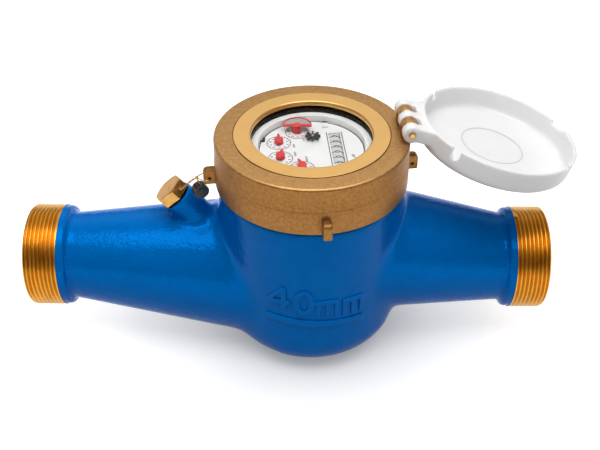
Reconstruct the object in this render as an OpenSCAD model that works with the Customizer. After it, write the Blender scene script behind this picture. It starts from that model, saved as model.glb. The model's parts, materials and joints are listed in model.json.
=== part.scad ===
// Multi-jet dry-dial water meter, DN40 with G2 pipe threads.
// The base stands on z = 0, the bowl's axis is z, and water runs along +x.

/* [Pipe run] */
// Height of the pipe axis above the base
pipe_axis_z = 47; // [45:0.5:54]
// Inlet face to the bowl's axis
inlet_len = 164; // [155:1:200]
// Bowl's axis to the outlet face
outlet_len = 136; // [128:1:180]
// Outside diameter of the pipe threads
thread_d = 59.6; // [58:0.1:64]
// Length of each pipe thread
thread_len = 19; // [14:0.5:24]
// Chamfer at the start of each thread
thread_chamfer = 1.2; // [0.5:0.1:2]
// Bore of the pipe ends
bore_d = 40; // [34:0.5:42]
// Diameter of the cast collar behind each thread
collar_d = 58.6; // [56:0.2:62]
// Width of that collar
collar_w = 4.5; // [3.5:0.5:7]

/* [Casting] */
// Outside diameter of the bowl
bowl_d = 104.4; // [102:0.2:110]
// Radius of the bowl's bottom edge
bowl_fillet = 23; // [14:1:27]
// Wall of the casting
wall = 5.2; // [4:0.2:6]
// Thickness of the bowl's floor
floor_t = 7; // [5:0.5:9]
// Outside diameter of the inlet cone at its collar
inlet_neck_d = 50.6; // [48:0.2:54]
// Outside diameter of the inlet cone near the bowl's axis
inlet_root_d = 86.6; // [80:0.2:88]
// How far the inlet cone's axis drops towards the bowl
inlet_drop = 7.1; // [4:0.1:8]
// Outside diameter of the outlet cone at its collar
outlet_neck_d = 51.4; // [48:0.2:54]
// Outside diameter of the outlet cone near the bowl's axis
outlet_root_d = 78.6; // [72:0.2:82]
// How far the outlet cone's axis rises towards the bowl
outlet_rise = 9.7; // [6:0.1:11]
// Thickness of the partition between the inlet and outlet chambers
shelf_t = 5; // [4:0.5:7]
// Pipe axis to the partition's top face
shelf_rise = 6; // [4:0.5:9]

/* [Clamp ring] */
// Outside diameter of the clamp ring
ring_d = 107; // [104:0.5:112]
// Pipe axis to the ring's lower edge
ring_rise = 57.7; // [55:0.1:64]
// Height of the ring
ring_h = 28.2; // [27:0.1:34]
// Diameter of the machined land around the window
land_d = 84.8; // [80:0.2:92]
// How far the land stands above the cast top
land_proud = 0.4; // [0.2:0.1:0.8]
// Diameter of the window
window_d = 65.8; // [60:0.2:70]
// Thickness of the lip that holds the lens
lip_t = 2.4; // [2:0.1:4]
// Radius of the ring's top edge
ring_edge_r = 1.6; // [0.8:0.1:2.4]
// Height of the step in the ring's side above its lower edge
ring_band_h = 14; // [10:0.5:18]
// Diameter of the screw thread between ring and casting
ring_thread_d = 95.6; // [94:0.2:97]
// Tangential width of a lug
lug_w = 4.75; // [4:0.25:7]
// Height of a lug
lug_h = 9.3; // [8:0.1:12]
// How far a lug stands out from the ring's side
lug_proud = 6.4; // [5.6:0.1:10]
// Bearing of the first lug
lug_bearing = 8; // [0:1:20]
// Diameter of the sealing hole in a side lug
lug_hole_d = 2.2; // [1.6:0.1:3]
// Ring's lower edge to the middle of that hole
lug_hole_z = 4.8; // [3.8:0.1:6]

/* [Lid and hinge] */
// Bearing of the hinge, seen from above
hinge_bearing = 4.8; // [0:0.1:12]
// Bowl's axis to the hinge pin
hinge_reach = 51.6; // [51:0.1:56]
// Ring top to the hinge pin
hinge_rise = 5.4; // [5.4:0.1:8]
// Diameter of the hinge pin
pin_d = 3; // [2.4:0.1:4]
// Diameter of the lid's knuckles
lid_knuckle_d = 9.8; // [8:0.1:10]
// Diameter of the ring's knuckles
ring_knuckle_d = 9.2; // [7.6:0.1:9.8]
// Width of one knuckle and its gap
knuckle_pitch = 6.3; // [5:0.1:8]
// Outside diameter of the lid's rim
lid_d = 88.4; // [86:0.2:90]
// Depth of the lid
lid_h = 14; // [11:0.5:18]
// Wall of the lid
lid_wall = 2.2; // [1.6:0.1:3]
// Radius of the lid's outer edge
lid_edge_r = 4; // [3:0.5:6]
// How far the lid stands open
lid_open = 193; // [0:1:193]
// Diameter of the shallow round step in the lid's floor
lid_step_d = 35; // [30:0.5:40]

/* [Register] */
// Thickness of the lens
lens_t = 2; // [1.5:0.1:3]
// Thickness of the rubber ring under the lens
gasket_t = 3; // [2:0.1:4]
// Register rim down to the dial's face
dial_drop = 3.6; // [3:0.1:5]
// Diameter of the dial
dial_d = 58.2; // [57:0.2:60]
// Thickness of the dial
dial_t = 1; // [0.8:0.1:1.6]
// Bearing of the dial's reading direction
dial_bearing = 5; // [0:0.5:12]
// Dial's centre to a pointer's axis
pointer_reach = 19.05; // [18.6:0.05:19.4]
// Bearing from one pointer to the next
pointer_step = 46.4; // [45.6:0.1:47]
// Length of a pointer's needle
needle_len = 5.6; // [4.5:0.1:6.2]
// Radius of the half-moon target on the fastest pointer
target_r = 7.6; // [6.5:0.1:8]
// Outside radius of the flow star
star_r = 4.3; // [3.5:0.1:5]
// Radius of a number drum
drum_r = 5; // [4.6:0.1:5.2]
// Spacing of the number drums
drum_pitch = 5.15; // [4.6:0.05:5.2]
// Dial's centre to the drums' axle
drum_reach = 13.85; // [13.2:0.05:15]
// Diameter of the drums' axle
axle_d = 1.6; // [1.4:0.1:2.4]
// Running clearance of a spindle in its bearing, on the radius
running = 0.05; // [0.04:0.01:0.1]

/* [Measuring insert] */
// Outside diameter of the measuring chamber
chamber_d = 73; // [70:0.5:74]
// Wall of the measuring chamber
chamber_wall = 3; // [2.4:0.2:4]
// Height of the chamber above the partition
chamber_rise = 25; // [22:0.5:28]
// Number of jets in each ring of ports
jets = 10; // [6:1:12]
// Width of a jet
jet_w = 5; // [3:0.2:6]
// Angle between a jet and the radius
jet_slant = 52; // [35:1:58]
// Number of impeller blades
blades = 8; // [6:1:12]
// Radius of the impeller
impeller_r = 30.5; // [26:0.5:31]
// Thickness of a blade
blade_t = 1.6; // [1.2:0.1:2.4]
// Diameter of the impeller's shaft
shaft_d = 3; // [2.4:0.2:4]

/* [Regulator and seal] */
// Lean of the regulator's boss from the vertical
boss_lean = 41; // [36:1:46]
// Bowl's axis to the middle of the boss's face
boss_x = 76.4; // [72:0.2:82]
// Pipe axis to the middle of the boss's face
boss_rise = 43.5; // [42:0.2:48]
// Diameter of the boss
boss_d = 19.6; // [18:0.2:22]
// Hexagon of the plug, across flats
plug_af = 17; // [15:0.5:19]
// Height of the plug's head
plug_h = 6.6; // [5:0.2:8]
// Diameter of the regulating screw
screw_d = 10; // [8:0.2:11]
// Diameter of the sealing wire
wire_d = 0.7; // [0.5:0.1:0.9]
// Diameter of the crimped seal
seal_d = 8.6; // [7:0.2:11]

/* [Hidden] */

$fn = 64;
eps = 0.01;
gap = 0.3;
snug = 0.02;

// Radii and heights of the casting
thread_r = thread_d / 2;
bore_r = bore_d / 2;
bowl_r = bowl_d / 2;
bowl_bore_r = bowl_r - wall - 1;
cone_root_x = 20;
neck_x_in = -(inlet_len - thread_len - collar_w);
neck_x_out = outlet_len - thread_len - collar_w;
shelf_top = pipe_axis_z + shelf_rise;
ring_z = pipe_axis_z + ring_rise;
ring_top = ring_z + ring_h;
bowl_top = ring_z - 0.5;
ring_fit = 0.4;
neck_r = ring_thread_d / 2 - ring_fit;
neck_bore_r = neck_r - wall;
neck_top = ring_z + 5.3;

// Stack under the ring, counted down from its lip and up from the casting's rim
stack_r = land_d / 2 - 0.2;
plate_flange_t = 4;
plate_depth = 10;
plate_floor_t = 3;
plate_top = neck_top + plate_flange_t;
plate_z = neck_top - plate_depth;
lens_z = ring_top - lip_t - lens_t;
rim_z = lens_z - gasket_t;
dial_z = rim_z - dial_drop;
dial_under = dial_z - dial_t;
dial_r = dial_d / 2;
cup_bore_r = dial_r + 0.2;
cup_wall = 2.2;
ledge_r = dial_r - 1.5;
ledge_t = 1.2;
cup_floor_t = 1.8;
cup_z = plate_z + plate_floor_t + gap / 2;
cup_floor = cup_z + cup_floor_t;
seat_ring_t = 2;
seat_ring_h = 3;

// Plate seal, a rubber ring in a groove of the pressure plate
seal_ring_r = 1;
seal_ring_c = neck_bore_r - seal_ring_r - 0.05;
seal_groove_r = seal_ring_c - seal_ring_r - 0.05;
plate_r = neck_bore_r - 0.3;
seal_ring_z = neck_top - 4;

// Measuring insert
chamber_r = chamber_d / 2;
chamber_bore_r = chamber_r - chamber_wall;
chamber_z = floor_t + 6;
chamber_floor = chamber_z + 3;
chamber_top = shelf_top + chamber_rise;
basket_t = 1.2;
basket_r = chamber_r + 0.8 + basket_t;
seat_hole_r = basket_r + 0.3;
flange_r = seat_hole_r + 3.6;
flange_t = 3;
cover_t = 3;
cover_spigot_h = 2;
hub_r = 5;
shaft_r = shaft_d / 2;
pivot_r = 1.5;
pivot_tip = chamber_floor + 6;
hub_z = chamber_floor + 3;
blade_z = chamber_floor + 5;
blade_top = chamber_top - cover_spigot_h - 4;
magnet_r = 9;
magnet_h = 6;
shaft_top = plate_z - 1.5;

// Register train: eight layers of wheels between the cup's floor and the dial
layers = 8;
magnet_gap = 3.2;
layer_margin = 0.6;
layer_pitch = (dial_under - cup_floor - magnet_gap - layer_margin) / layers;
wheel_t = 0.74 * layer_pitch;
spindle_r = 0.5;
foot_depth = 1.1;
addendum = 0.8;
dedendum = 1.25;
first_pinion = 12;
star_teeth = 30;
star_module = 0.5;
star_pinion = 18;
lead_teeth = 28;
pointer_pinion = 8;
idler_teeth = 25;
pointer_module = 0.5;
idler_pinion = 10;
pointer_teeth = 32;
idler_module = 0.36;

function polar(r, a) = [r * cos(a), r * sin(a)];
function bearing_of(v) = atan2(v[1], v[0]);
function layer_z(k) = cup_floor + magnet_gap + (k - 1) * layer_pitch;
function arc(c, r, a0, a1, n = 8) = [for (i = [0:n]) c + polar(r, a0 + (a1 - a0) * i / n)];
function unit(v) = v / norm(v);
function bezier(a, b, c, d, t) =
    a * pow(1 - t, 3) + 3 * b * t * pow(1 - t, 2) + 3 * c * t * t * (1 - t) + d * pow(t, 3);

// Place of a third pivot at distances a and b from two others, on the left of p to q
function third(p, q, a, b) =
    let (d = norm(q - p), u = (q - p) / d, s = (d * d + a * a - b * b) / (2 * d))
    p + s * u + sqrt(a * a - s * s) * [-u[1], u[0]];

star_mesh = star_module * (first_pinion + star_teeth) / 2;
idler_mesh = pointer_module * (pointer_pinion + idler_teeth) / 2;
wheel_mesh = idler_module * (idler_pinion + pointer_teeth) / 2;
pointer_at = [for (k = [0:3]) polar(pointer_reach, 180 + dial_bearing + (k - 1.5) * pointer_step)];
star_at = polar(star_mesh, dial_bearing + 82);
lead_mesh = norm(star_at - pointer_at[0]);
lead_module = 2 * lead_mesh / (star_pinion + lead_teeth);
// Room that the widest wheel needs inside the register cup
train_r = pointer_reach + lead_module * (lead_teeth / 2 + addendum) + gap;
cup_r = max(cup_bore_r, train_r) + cup_wall;
idler_at = [for (k = [0:2]) third(pointer_at[k], pointer_at[k + 1], idler_mesh, wheel_mesh)];

// Number drums
drums = 6;
drum_z = dial_z - 0.45 - drum_r;
drum_w = drum_pitch - 0.2;
row_half = drums * drum_pitch / 2;
cheek_t = 1.2;
cheek_w = 7;
window_half = 3.2;

// Pointers above the dial
pointer_foot = dial_z + 0.4;
pointer_hub_r = 2.35;
pointer_hub_h = 2.5;
needle_t = 0.7;
needle_bearing = [265, 90, 75, 110];
target_z = lens_z - 1.6;
star_z = dial_z + 1.1;
star_t = 1.4;

// Hinge frame
hinge_z = ring_top + hinge_rise;
pin_r = pin_d / 2;
pin_len = 5 * knuckle_pitch + 1;
knuckle_gap = 0.3;
lid_rest = 0.1;
lid_rim_z = ring_top + land_proud + lid_rest;
lid_r = lid_d / 2;
lid_stop = 193;
knuckle_w = knuckle_pitch - knuckle_gap;
lug_reach = ring_d / 2 + lug_proud;
lug_eye_inset = 3.4;
lug_eye_reach = lug_reach - lug_eye_inset;

// Regulator frame
boss_r = boss_d / 2;
boss_len = 32;
plug_washer_t = 1;
plug_shank_r = 7.2;
plug_shank_h = 8;
screw_r = screw_d / 2;
screw_top = plug_shank_h + 1;
screw_len = 26;
plug_corner_r = plug_af / sqrt(3);
eye_r = 0.9;

// Colours
enamel = [0.02, 0.28, 0.60];
brass = [0.78, 0.58, 0.30];
cast_brass = [0.70, 0.52, 0.30];
white = [0.92, 0.92, 0.90];
acetal = [0.85, 0.84, 0.78];
red = [0.80, 0.08, 0.08];
black = [0.06, 0.06, 0.07];
steel = [0.70, 0.71, 0.73];
clear = [0.80, 0.88, 0.92, 0.35];
amber = [0.80, 0.70, 0.45];

// Shared shapes
module along_x() {
    rotate([0, 90, 0]) children();
}

module tapered(p, rp, q, rq) {
    d = q - p;
    translate(p) rotate([0, atan2(d[0], d[2]), 0]) cylinder(h = norm(d), r1 = rp, r2 = rq);
}

module washer(r, bore, h) {
    difference() {
        cylinder(h = h, r = r);
        translate([0, 0, -eps]) cylinder(h = h + 2 * eps, r = bore);
    }
}

module wheel(teeth, mod, h) {
    rp = teeth * mod / 2;
    step = 360 / teeth;
    tip = rp + addendum * mod;
    root = rp - dedendum * mod;
    flank = [[root, -0.30], [rp, -0.19], [tip, -0.08], [tip, 0.08], [rp, 0.19], [root, 0.30]];
    linear_extrude(h)
        polygon([for (i = [0:teeth - 1]) for (f = flank) polar(f[0], (i + f[1]) * step)]);
}

// A driving pinion has a tooth on the line of centres, the wheel it drives a gap
module driving(teeth, mod, from, to, k) {
    translate([from[0], from[1], layer_z(k)])
        rotate(bearing_of(to - from)) wheel(teeth, mod, wheel_t);
}

module driven(teeth, mod, from, to, k) {
    translate([to[0], to[1], layer_z(k)])
        rotate(bearing_of(from - to) + 180 / teeth) wheel(teeth, mod, wheel_t);
}

module spindle(at, top) {
    foot = cup_floor - foot_depth + running;
    translate([at[0], at[1], foot]) cylinder(h = top - foot, r = spindle_r);
}

function tube_ring(p, d, r, n) =
    let (a = unit(cross(d, [0.31, 0.23, 0.92])), b = cross(unit(d), a))
    [for (i = [0:n - 1]) p + r * (cos(360 * i / n) * a + sin(360 * i / n) * b)];

module tube(path, r, n = 8) {
    last = len(path) - 1;
    rings = [for (i = [0:last])
        tube_ring(path[i], path[min(i + 1, last)] - path[max(i - 1, 0)], r, n)];
    sides = [for (i = [0:last - 1]) for (j = [0:n - 1])
        [i * n + j, (i + 1) * n + j, (i + 1) * n + (j + 1) % n, i * n + (j + 1) % n]];
    near = [[for (j = [0:n - 1]) j]];
    far = [[for (j = [n - 1:-1:0]) last * n + j]];
    polyhedron(points = [for (ring = rings) for (p = ring) p], faces = concat(near, sides, far));
}

// Casting
function inlet_mid(x) =
    pipe_axis_z - inlet_drop * (x - neck_x_in) / (-cone_root_x - neck_x_in);
function outlet_mid(x) =
    pipe_axis_z + outlet_rise * (neck_x_out - x) / (neck_x_out - cone_root_x);

function inlet_cone_r(x) = inlet_neck_d / 2
    + (inlet_root_d - inlet_neck_d) / 2 * (x - neck_x_in) / (-cone_root_x - neck_x_in);
function outlet_cone_r(x) = outlet_neck_d / 2
    + (outlet_root_d - outlet_neck_d) / 2 * (neck_x_out - x) / (neck_x_out - cone_root_x);

// The cones start inside their collars
module inlet_cone() {
    x = neck_x_in - 3;
    tapered([x, 0, inlet_mid(x)], inlet_cone_r(x),
        [-cone_root_x, 0, inlet_mid(-cone_root_x)], inlet_root_d / 2);
}

module outlet_cone() {
    x = neck_x_out + 3;
    tapered([x, 0, outlet_mid(x)], outlet_cone_r(x),
        [cone_root_x, 0, outlet_mid(cone_root_x)], outlet_root_d / 2);
}

// The passages widen from the bore to the cones' walls
module inlet_passage() {
    tapered([neck_x_in - wall, 0, pipe_axis_z], bore_r - 0.5,
        [-cone_root_x, 0, inlet_mid(-cone_root_x)], inlet_root_d / 2 - wall);
}

module outlet_passage() {
    tapered([neck_x_out + wall, 0, pipe_axis_z], bore_r - 0.5,
        [cone_root_x, 0, outlet_mid(cone_root_x)], outlet_root_d / 2 - wall);
}

// One pipe end, its face at 0 and the collar running back along the axis
module pipe_end(neck_d) {
    collar_r = collar_d / 2;
    edge = 2;
    collar_end = thread_len + collar_w;
    rotate_extrude() polygon(concat(
        [[0, 0], [thread_r - thread_chamfer, 0], [thread_r, thread_chamfer],
            [thread_r, thread_len], [collar_r, thread_len + eps]],
        arc([collar_r - edge, collar_end - edge], edge, 0, 90, 6),
        [[neck_d / 2 + 1.2, collar_end], [neck_d / 2 - 1, collar_end + 1.8],
            [0, collar_end + 1.8]]));
}

module bowl_outside() {
    edge = 1;
    rotate_extrude() polygon(concat(
        [[0, 0]],
        arc([bowl_r - bowl_fillet, bowl_fillet], bowl_fillet, -90, 0, 12),
        [[bowl_r, bowl_top - edge], [bowl_r - edge, bowl_top],
            [neck_r, bowl_top], [neck_r, neck_top], [0, neck_top]]));
}

module bowl_inside() {
    ramp = bowl_bore_r - neck_bore_r;
    rotate_extrude() polygon([
        [0, floor_t], [bowl_bore_r - 4, floor_t], [bowl_bore_r, floor_t + 4],
        [bowl_bore_r, plate_z - 2 - ramp], [neck_bore_r, plate_z - 2],
        [neck_bore_r, neck_top + eps], [0, neck_top + eps]]);
}

// The partition keeps the inlet chamber below it from the outlet chamber above
module partition() {
    top = shelf_top;
    low = shelf_top - shelf_t;
    reach = bowl_bore_r - 2;
    lift = pipe_axis_z + bore_r + wall + 0.6;
    dip = pipe_axis_z - bore_r - wall - 0.4;
    inlet_edge = neck_x_in + 4;
    outlet_edge = neck_x_out - 4;
    difference() {
        union() {
            translate([0, 0, low]) cylinder(h = shelf_t, r = bowl_bore_r + 1);
            rotate([90, 0, 0]) linear_extrude(2 * bowl_r, center = true) polygon([
                [-reach, low], [-reach, top], [inlet_edge, lift], [inlet_edge, lift - shelf_t]]);
            rotate([90, 0, 0]) linear_extrude(2 * bowl_r, center = true) polygon([
                [reach, low], [reach, top], [outlet_edge, dip + shelf_t], [outlet_edge, dip]]);
        }
        translate([0, 0, low - eps]) cylinder(h = shelf_t + 2 * eps, r = seat_hole_r);
        // bypass port under the regulating screw
        translate([-(bowl_r + 4), 0, low]) cylinder(h = 4 * shelf_t, r = screw_r - 1);
    }
}

module regulator_place() {
    translate([-boss_x, 0, pipe_axis_z + boss_rise]) rotate([0, -boss_lean, 0]) children();
}

module meter_body() {
    bore_len = thread_len + collar_w + 20;
    color(enamel) difference() {
        union() {
            bowl_outside();
            intersection() {
                inlet_cone();
                translate([-inlet_len, -bowl_r, 0]) cube([inlet_len, bowl_d, 2 * pipe_axis_z]);
            }
            outlet_cone();
            translate([-inlet_len, 0, pipe_axis_z]) along_x() pipe_end(inlet_neck_d);
            translate([outlet_len, 0, pipe_axis_z]) rotate([0, -90, 0]) pipe_end(outlet_neck_d);
            regulator_place() translate([0, 0, -boss_len]) cylinder(h = boss_len, r = boss_r);
        }
        difference() {
            union() {
                bowl_inside();
                inlet_passage();
                outlet_passage();
                translate([-inlet_len - eps, 0, pipe_axis_z]) along_x()
                    cylinder(h = bore_len, r = bore_r);
                translate([outlet_len + eps, 0, pipe_axis_z]) rotate([0, -90, 0])
                    cylinder(h = bore_len, r = bore_r);
            }
            partition();
        }
        regulator_place() {
            translate([0, 0, -boss_len - 6]) cylinder(h = boss_len + 6, r = screw_r + snug);
            translate([0, 0, -plug_shank_h - 0.5])
                cylinder(h = plug_shank_h + 1, r = plug_shank_r + running);
        }
    }
}

// Measuring insert
module port_ring(z, h, slant) {
    for (i = [0:jets - 1])
        rotate(360 * i / jets) translate([chamber_r - chamber_wall / 2, 0, z])
            rotate(slant) translate([-jet_w * 2.4, -jet_w / 2, 0]) cube([jet_w * 4.8, jet_w, h]);
}

module strainer() {
    slots = 28;
    slot_z = chamber_z + 4;
    band = 7;
    color(white) difference() {
        translate([0, 0, chamber_z - basket_t])
            cylinder(h = shelf_top - chamber_z + basket_t, r = basket_r);
        translate([0, 0, chamber_z]) cylinder(h = shelf_top, r = basket_r - basket_t);
        for (i = [0:slots - 1])
            rotate(360 * i / slots) translate([chamber_r - 1, -1.6, slot_z])
                cube([8, 3.2, shelf_top - band - slot_z]);
        translate([0, 0, chamber_z - 2 * basket_t]) cylinder(h = 3 * basket_t, r = 6);
    }
}

module measuring_chamber() {
    low_port_h = shelf_top - shelf_t - chamber_floor - 12;
    color(amber) difference() {
        union() {
            translate([0, 0, chamber_z]) cylinder(h = chamber_top - chamber_z, r = chamber_r);
            translate([0, 0, shelf_top]) cylinder(h = flange_t, r = flange_r);
        }
        translate([0, 0, chamber_floor]) cylinder(h = chamber_top, r = chamber_bore_r);
        port_ring(chamber_floor + 6, low_port_h, jet_slant);
        port_ring(shelf_top + flange_t + 3, chamber_rise - flange_t - 8, -jet_slant);
        translate([0, 0, chamber_z + 1]) cylinder(h = flange_t + 1, r = pivot_r + snug);
    }
}

module pivot_pin() {
    point = 1;
    color(steel) {
        translate([0, 0, chamber_z + 1])
            cylinder(h = pivot_tip - point - chamber_z - 1, r = pivot_r);
        translate([0, 0, pivot_tip - point]) cylinder(h = point, r1 = pivot_r, r2 = 0.3);
    }
}

module chamber_cover() {
    post_r = chamber_r - 1;
    bush_r = 3.6;
    windows = 6;
    crown_h = plate_z - chamber_top - cover_t;
    color(amber) difference() {
        union() {
            translate([0, 0, chamber_top]) cylinder(h = cover_t, r = chamber_r);
            translate([0, 0, chamber_top - cover_spigot_h])
                cylinder(h = cover_spigot_h, r = chamber_bore_r - snug);
            translate([0, 0, chamber_top + cover_t]) washer(post_r, post_r - 3, crown_h - snug);
            translate([0, 0, chamber_top + cover_t]) cylinder(h = 2, r = bush_r);
        }
        translate([0, 0, chamber_top - cover_spigot_h - eps])
            cylinder(h = 2 * cover_t + cover_spigot_h, r = shaft_r + running);
        for (i = [0:windows - 1])
            rotate(360 * i / windows) translate([post_r - 6, -8, chamber_top + cover_t + 3])
                cube([12, 16, crown_h - 6]);
    }
}

module impeller() {
    color(white) difference() {
        union() {
            translate([0, 0, hub_z]) cylinder(h = blade_top - hub_z, r = hub_r);
            for (i = [0:blades - 1])
                rotate(360 * i / blades) translate([hub_r - 1, -blade_t / 2, blade_z])
                    cube([impeller_r - hub_r + 1, blade_t, blade_top - blade_z]);
            translate([0, 0, blade_z + 8]) washer(hub_r + 9, hub_r - 1, 1.6);
        }
        translate([0, 0, hub_z - eps])
            cylinder(h = pivot_tip - hub_z + 0.2, r = pivot_r + running);
        translate([0, 0, pivot_tip + 3]) cylinder(h = blade_top, r = shaft_r + snug);
    }
}

module rotor_shaft() {
    color(steel) translate([0, 0, pivot_tip + 3])
        cylinder(h = shaft_top - pivot_tip - 3, r = shaft_r);
}

module drive_magnet() {
    color(black) translate([0, 0, shaft_top - magnet_h]) washer(magnet_r, shaft_r + snug, magnet_h);
}

// Sealing plate and register
module pressure_plate() {
    dish_r = neck_bore_r - 4.5;
    color(brass) difference() {
        union() {
            translate([0, 0, plate_z]) cylinder(h = plate_depth, r = plate_r);
            translate([0, 0, neck_top]) cylinder(h = plate_flange_t, r = neck_r);
        }
        difference() {
            translate([0, 0, plate_z + plate_floor_t]) cylinder(h = ring_h, r = dish_r);
            translate([0, 0, plate_z]) washer(cup_r + snug + seat_ring_t, cup_r + snug,
                plate_floor_t + seat_ring_h);
        }
        translate([0, 0, seal_ring_z - seal_ring_r - 0.1])
            washer(plate_r + 1, seal_groove_r, 2 * seal_ring_r + 0.2);
    }
}

module plate_seal() {
    color(black) translate([0, 0, seal_ring_z])
        rotate_extrude() translate([seal_ring_c, 0]) circle(seal_ring_r, $fn = 32);
}

module register_cup() {
    flange = 2.5;
    color(white) difference() {
        union() {
            translate([0, 0, cup_z]) cylinder(h = rim_z - cup_z, r = cup_r);
            translate([0, 0, rim_z - flange]) cylinder(h = flange, r = stack_r - gap);
        }
        translate([0, 0, cup_floor]) cylinder(h = ring_h, r = ledge_r);
        if (train_r > ledge_r) translate([0, 0, cup_floor])
            cylinder(h = dial_under - ledge_t - cup_floor, r = train_r);
        translate([0, 0, dial_under]) cylinder(h = ring_h, r = cup_bore_r);
        for (at = concat([[0, 0], star_at], pointer_at, idler_at))
            translate([at[0], at[1], cup_floor - foot_depth])
                cylinder(h = foot_depth + eps, r = spindle_r + running, $fn = 24);
    }
}

module drum_place(i) {
    rotate(dial_bearing) translate([drum_reach, row_half - (i + 0.5) * drum_pitch, drum_z])
        rotate([90, 0, 0]) children();
}

module dial_plate() {
    cheek_z = drum_z - axle_d;
    cheek_y = row_half + gap;
    bearing_r = spindle_r + running;
    color(white) difference() {
        union() {
            translate([0, 0, dial_under]) cylinder(h = dial_t, r = dial_r);
            rotate(dial_bearing) for (side = [-1, 1])
                translate([drum_reach, side * (cheek_y + cheek_t / 2), (cheek_z + dial_under) / 2])
                    cube([cheek_w, cheek_t, dial_under - cheek_z + 2 * eps], center = true);
        }
        rotate(dial_bearing) translate([drum_reach, 0, dial_z - dial_t / 2])
            cube([2 * window_half, 2 * row_half + gap, dial_t + 2 * eps], center = true);
        rotate(dial_bearing) translate([drum_reach, 0, drum_z]) rotate([90, 0, 0])
            cylinder(h = 4 * row_half, r = axle_d / 2 + snug, center = true);
        for (at = concat([star_at], pointer_at, idler_at))
            translate([at[0], at[1], dial_under - eps])
                cylinder(h = dial_t + 2 * eps, r = bearing_r, $fn = 24);
        translate([0, 0, dial_under - eps]) cylinder(h = dial_t / 2, r = bearing_r, $fn = 24);
    }
}

module follower_magnet() {
    color(black) translate([0, 0, cup_floor + gap])
        washer(5.5, spindle_r + snug, magnet_gap - 2 * gap);
}

module follower_spindle() {
    color(acetal) {
        spindle([0, 0], dial_under + dial_t / 2 - 2 * running);
        driving(first_pinion, star_module, [0, 0], star_at, 1);
    }
}

module star_spindle() {
    color(acetal) {
        spindle(star_at, star_z + star_t);
        driven(star_teeth, star_module, [0, 0], star_at, 1);
        driving(star_pinion, lead_module, star_at, pointer_at[0], 2);
    }
}

module flow_star() {
    points = 8;
    tip_r = 0.62;
    color(black) translate([star_at[0], star_at[1], star_z]) difference() {
        union() {
            cylinder(h = star_t, r = 0.56 * star_r);
            for (i = [0:points - 1]) rotate(360 * i / points) {
                translate([0, -tip_r, 0]) cube([star_r - tip_r, 2 * tip_r, star_t]);
                translate([star_r - tip_r, 0, 0]) cylinder(h = star_t, r = tip_r, $fn = 24);
            }
        }
        translate([0, 0, -eps]) cylinder(h = star_t + 2 * eps, r = spindle_r + snug, $fn = 24);
    }
}

module pointer_wheel(k) {
    // the spindle ends short of the bottom of its pointer's blind hole
    top = k == 0 ? target_z - 0.4 : pointer_foot + pointer_hub_h - needle_t - running;
    color(acetal) {
        spindle(pointer_at[k], top);
        if (k == 0) driven(lead_teeth, lead_module, star_at, pointer_at[0], 2);
        if (k > 0) driven(pointer_teeth, idler_module, idler_at[k - 1], pointer_at[k], 2 * k + 2);
        if (k < 3) driving(pointer_pinion, pointer_module, pointer_at[k], idler_at[k], 2 * k + 3);
    }
}

module idler_wheel(k) {
    color(acetal) {
        spindle(idler_at[k], dial_z - 0.1);
        driven(idler_teeth, pointer_module, pointer_at[k], idler_at[k], 2 * k + 3);
        driving(idler_pinion, idler_module, idler_at[k], pointer_at[k + 1], 2 * k + 4);
    }
}

module pointer_place(k) {
    translate([pointer_at[k][0], pointer_at[k][1], pointer_foot])
        rotate(dial_bearing + needle_bearing[k]) children();
}

module pointer(k) {
    tail = 0.62 * needle_len;
    color(red) pointer_place(k) difference() {
        union() {
            cylinder(h = pointer_hub_h, r1 = pointer_hub_r + 0.2, r2 = pointer_hub_r);
            translate([0, 0, pointer_hub_h - needle_t]) linear_extrude(needle_t) polygon([
                [-tail, -1.1], [0, -1.5], [needle_len - 0.4, -0.45], [needle_len, 0],
                [needle_len - 0.4, 0.45], [0, 1.5], [-tail, 1.1]]);
        }
        translate([0, 0, -eps])
            cylinder(h = pointer_hub_h - needle_t, r = spindle_r + snug, $fn = 24);
    }
}

// The fastest pointer carries a half-moon metal target between its bar and its rim
module target_pointer() {
    bar = 1.7;
    rim = 0.6;
    hub_h = target_z - pointer_foot;
    carrier_t = 0.9;
    color(red) pointer_place(0) difference() {
        union() {
            cylinder(h = hub_h, r1 = pointer_hub_r + 0.2, r2 = pointer_hub_r);
            translate([-bar / 2, -target_r - rim, hub_h - carrier_t])
                cube([bar, 2 * (target_r + rim), carrier_t]);
            translate([0, 0, hub_h - carrier_t]) difference() {
                washer(target_r + rim, target_r, carrier_t);
                translate([0, -2 * target_r, -eps]) cube([4 * target_r, 4 * target_r, 2]);
            }
        }
        translate([0, 0, -eps]) cylinder(h = hub_h - 0.4, r = spindle_r + snug, $fn = 24);
    }
}

module target_disc() {
    bar = 1.7;
    disc_t = 0.5;
    color(steel) pointer_place(0) translate([0, 0, target_z - pointer_foot - 0.9])
        difference() {
            cylinder(h = disc_t, r = target_r - snug);
            translate([-bar / 2 - snug, -2 * target_r, -eps]) cube(4 * target_r);
            translate([0, 0, -eps]) cylinder(h = 1, r = pointer_hub_r + 0.2);
        }
}

module drum_axle() {
    color(steel) rotate(dial_bearing) translate([drum_reach, 0, drum_z]) rotate([90, 0, 0])
        cylinder(h = 2 * (row_half + gap + cheek_t) + 0.6, r = axle_d / 2, center = true);
}

module drum(i) {
    shell = 1;
    hub = axle_d / 2 + 0.9;
    color(white) drum_place(i) difference() {
        cylinder(h = drum_w, r = drum_r, center = true);
        cylinder(h = drum_w + 1, r = axle_d / 2 + running, center = true);
        translate([0, 0, drum_w / 2 - 1.6]) washer(drum_r - shell, hub, 3);
    }
}

module lens_gasket() {
    color(black) translate([0, 0, rim_z]) washer(stack_r - gap, window_d / 2 + 0.1, gasket_t);
}

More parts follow.
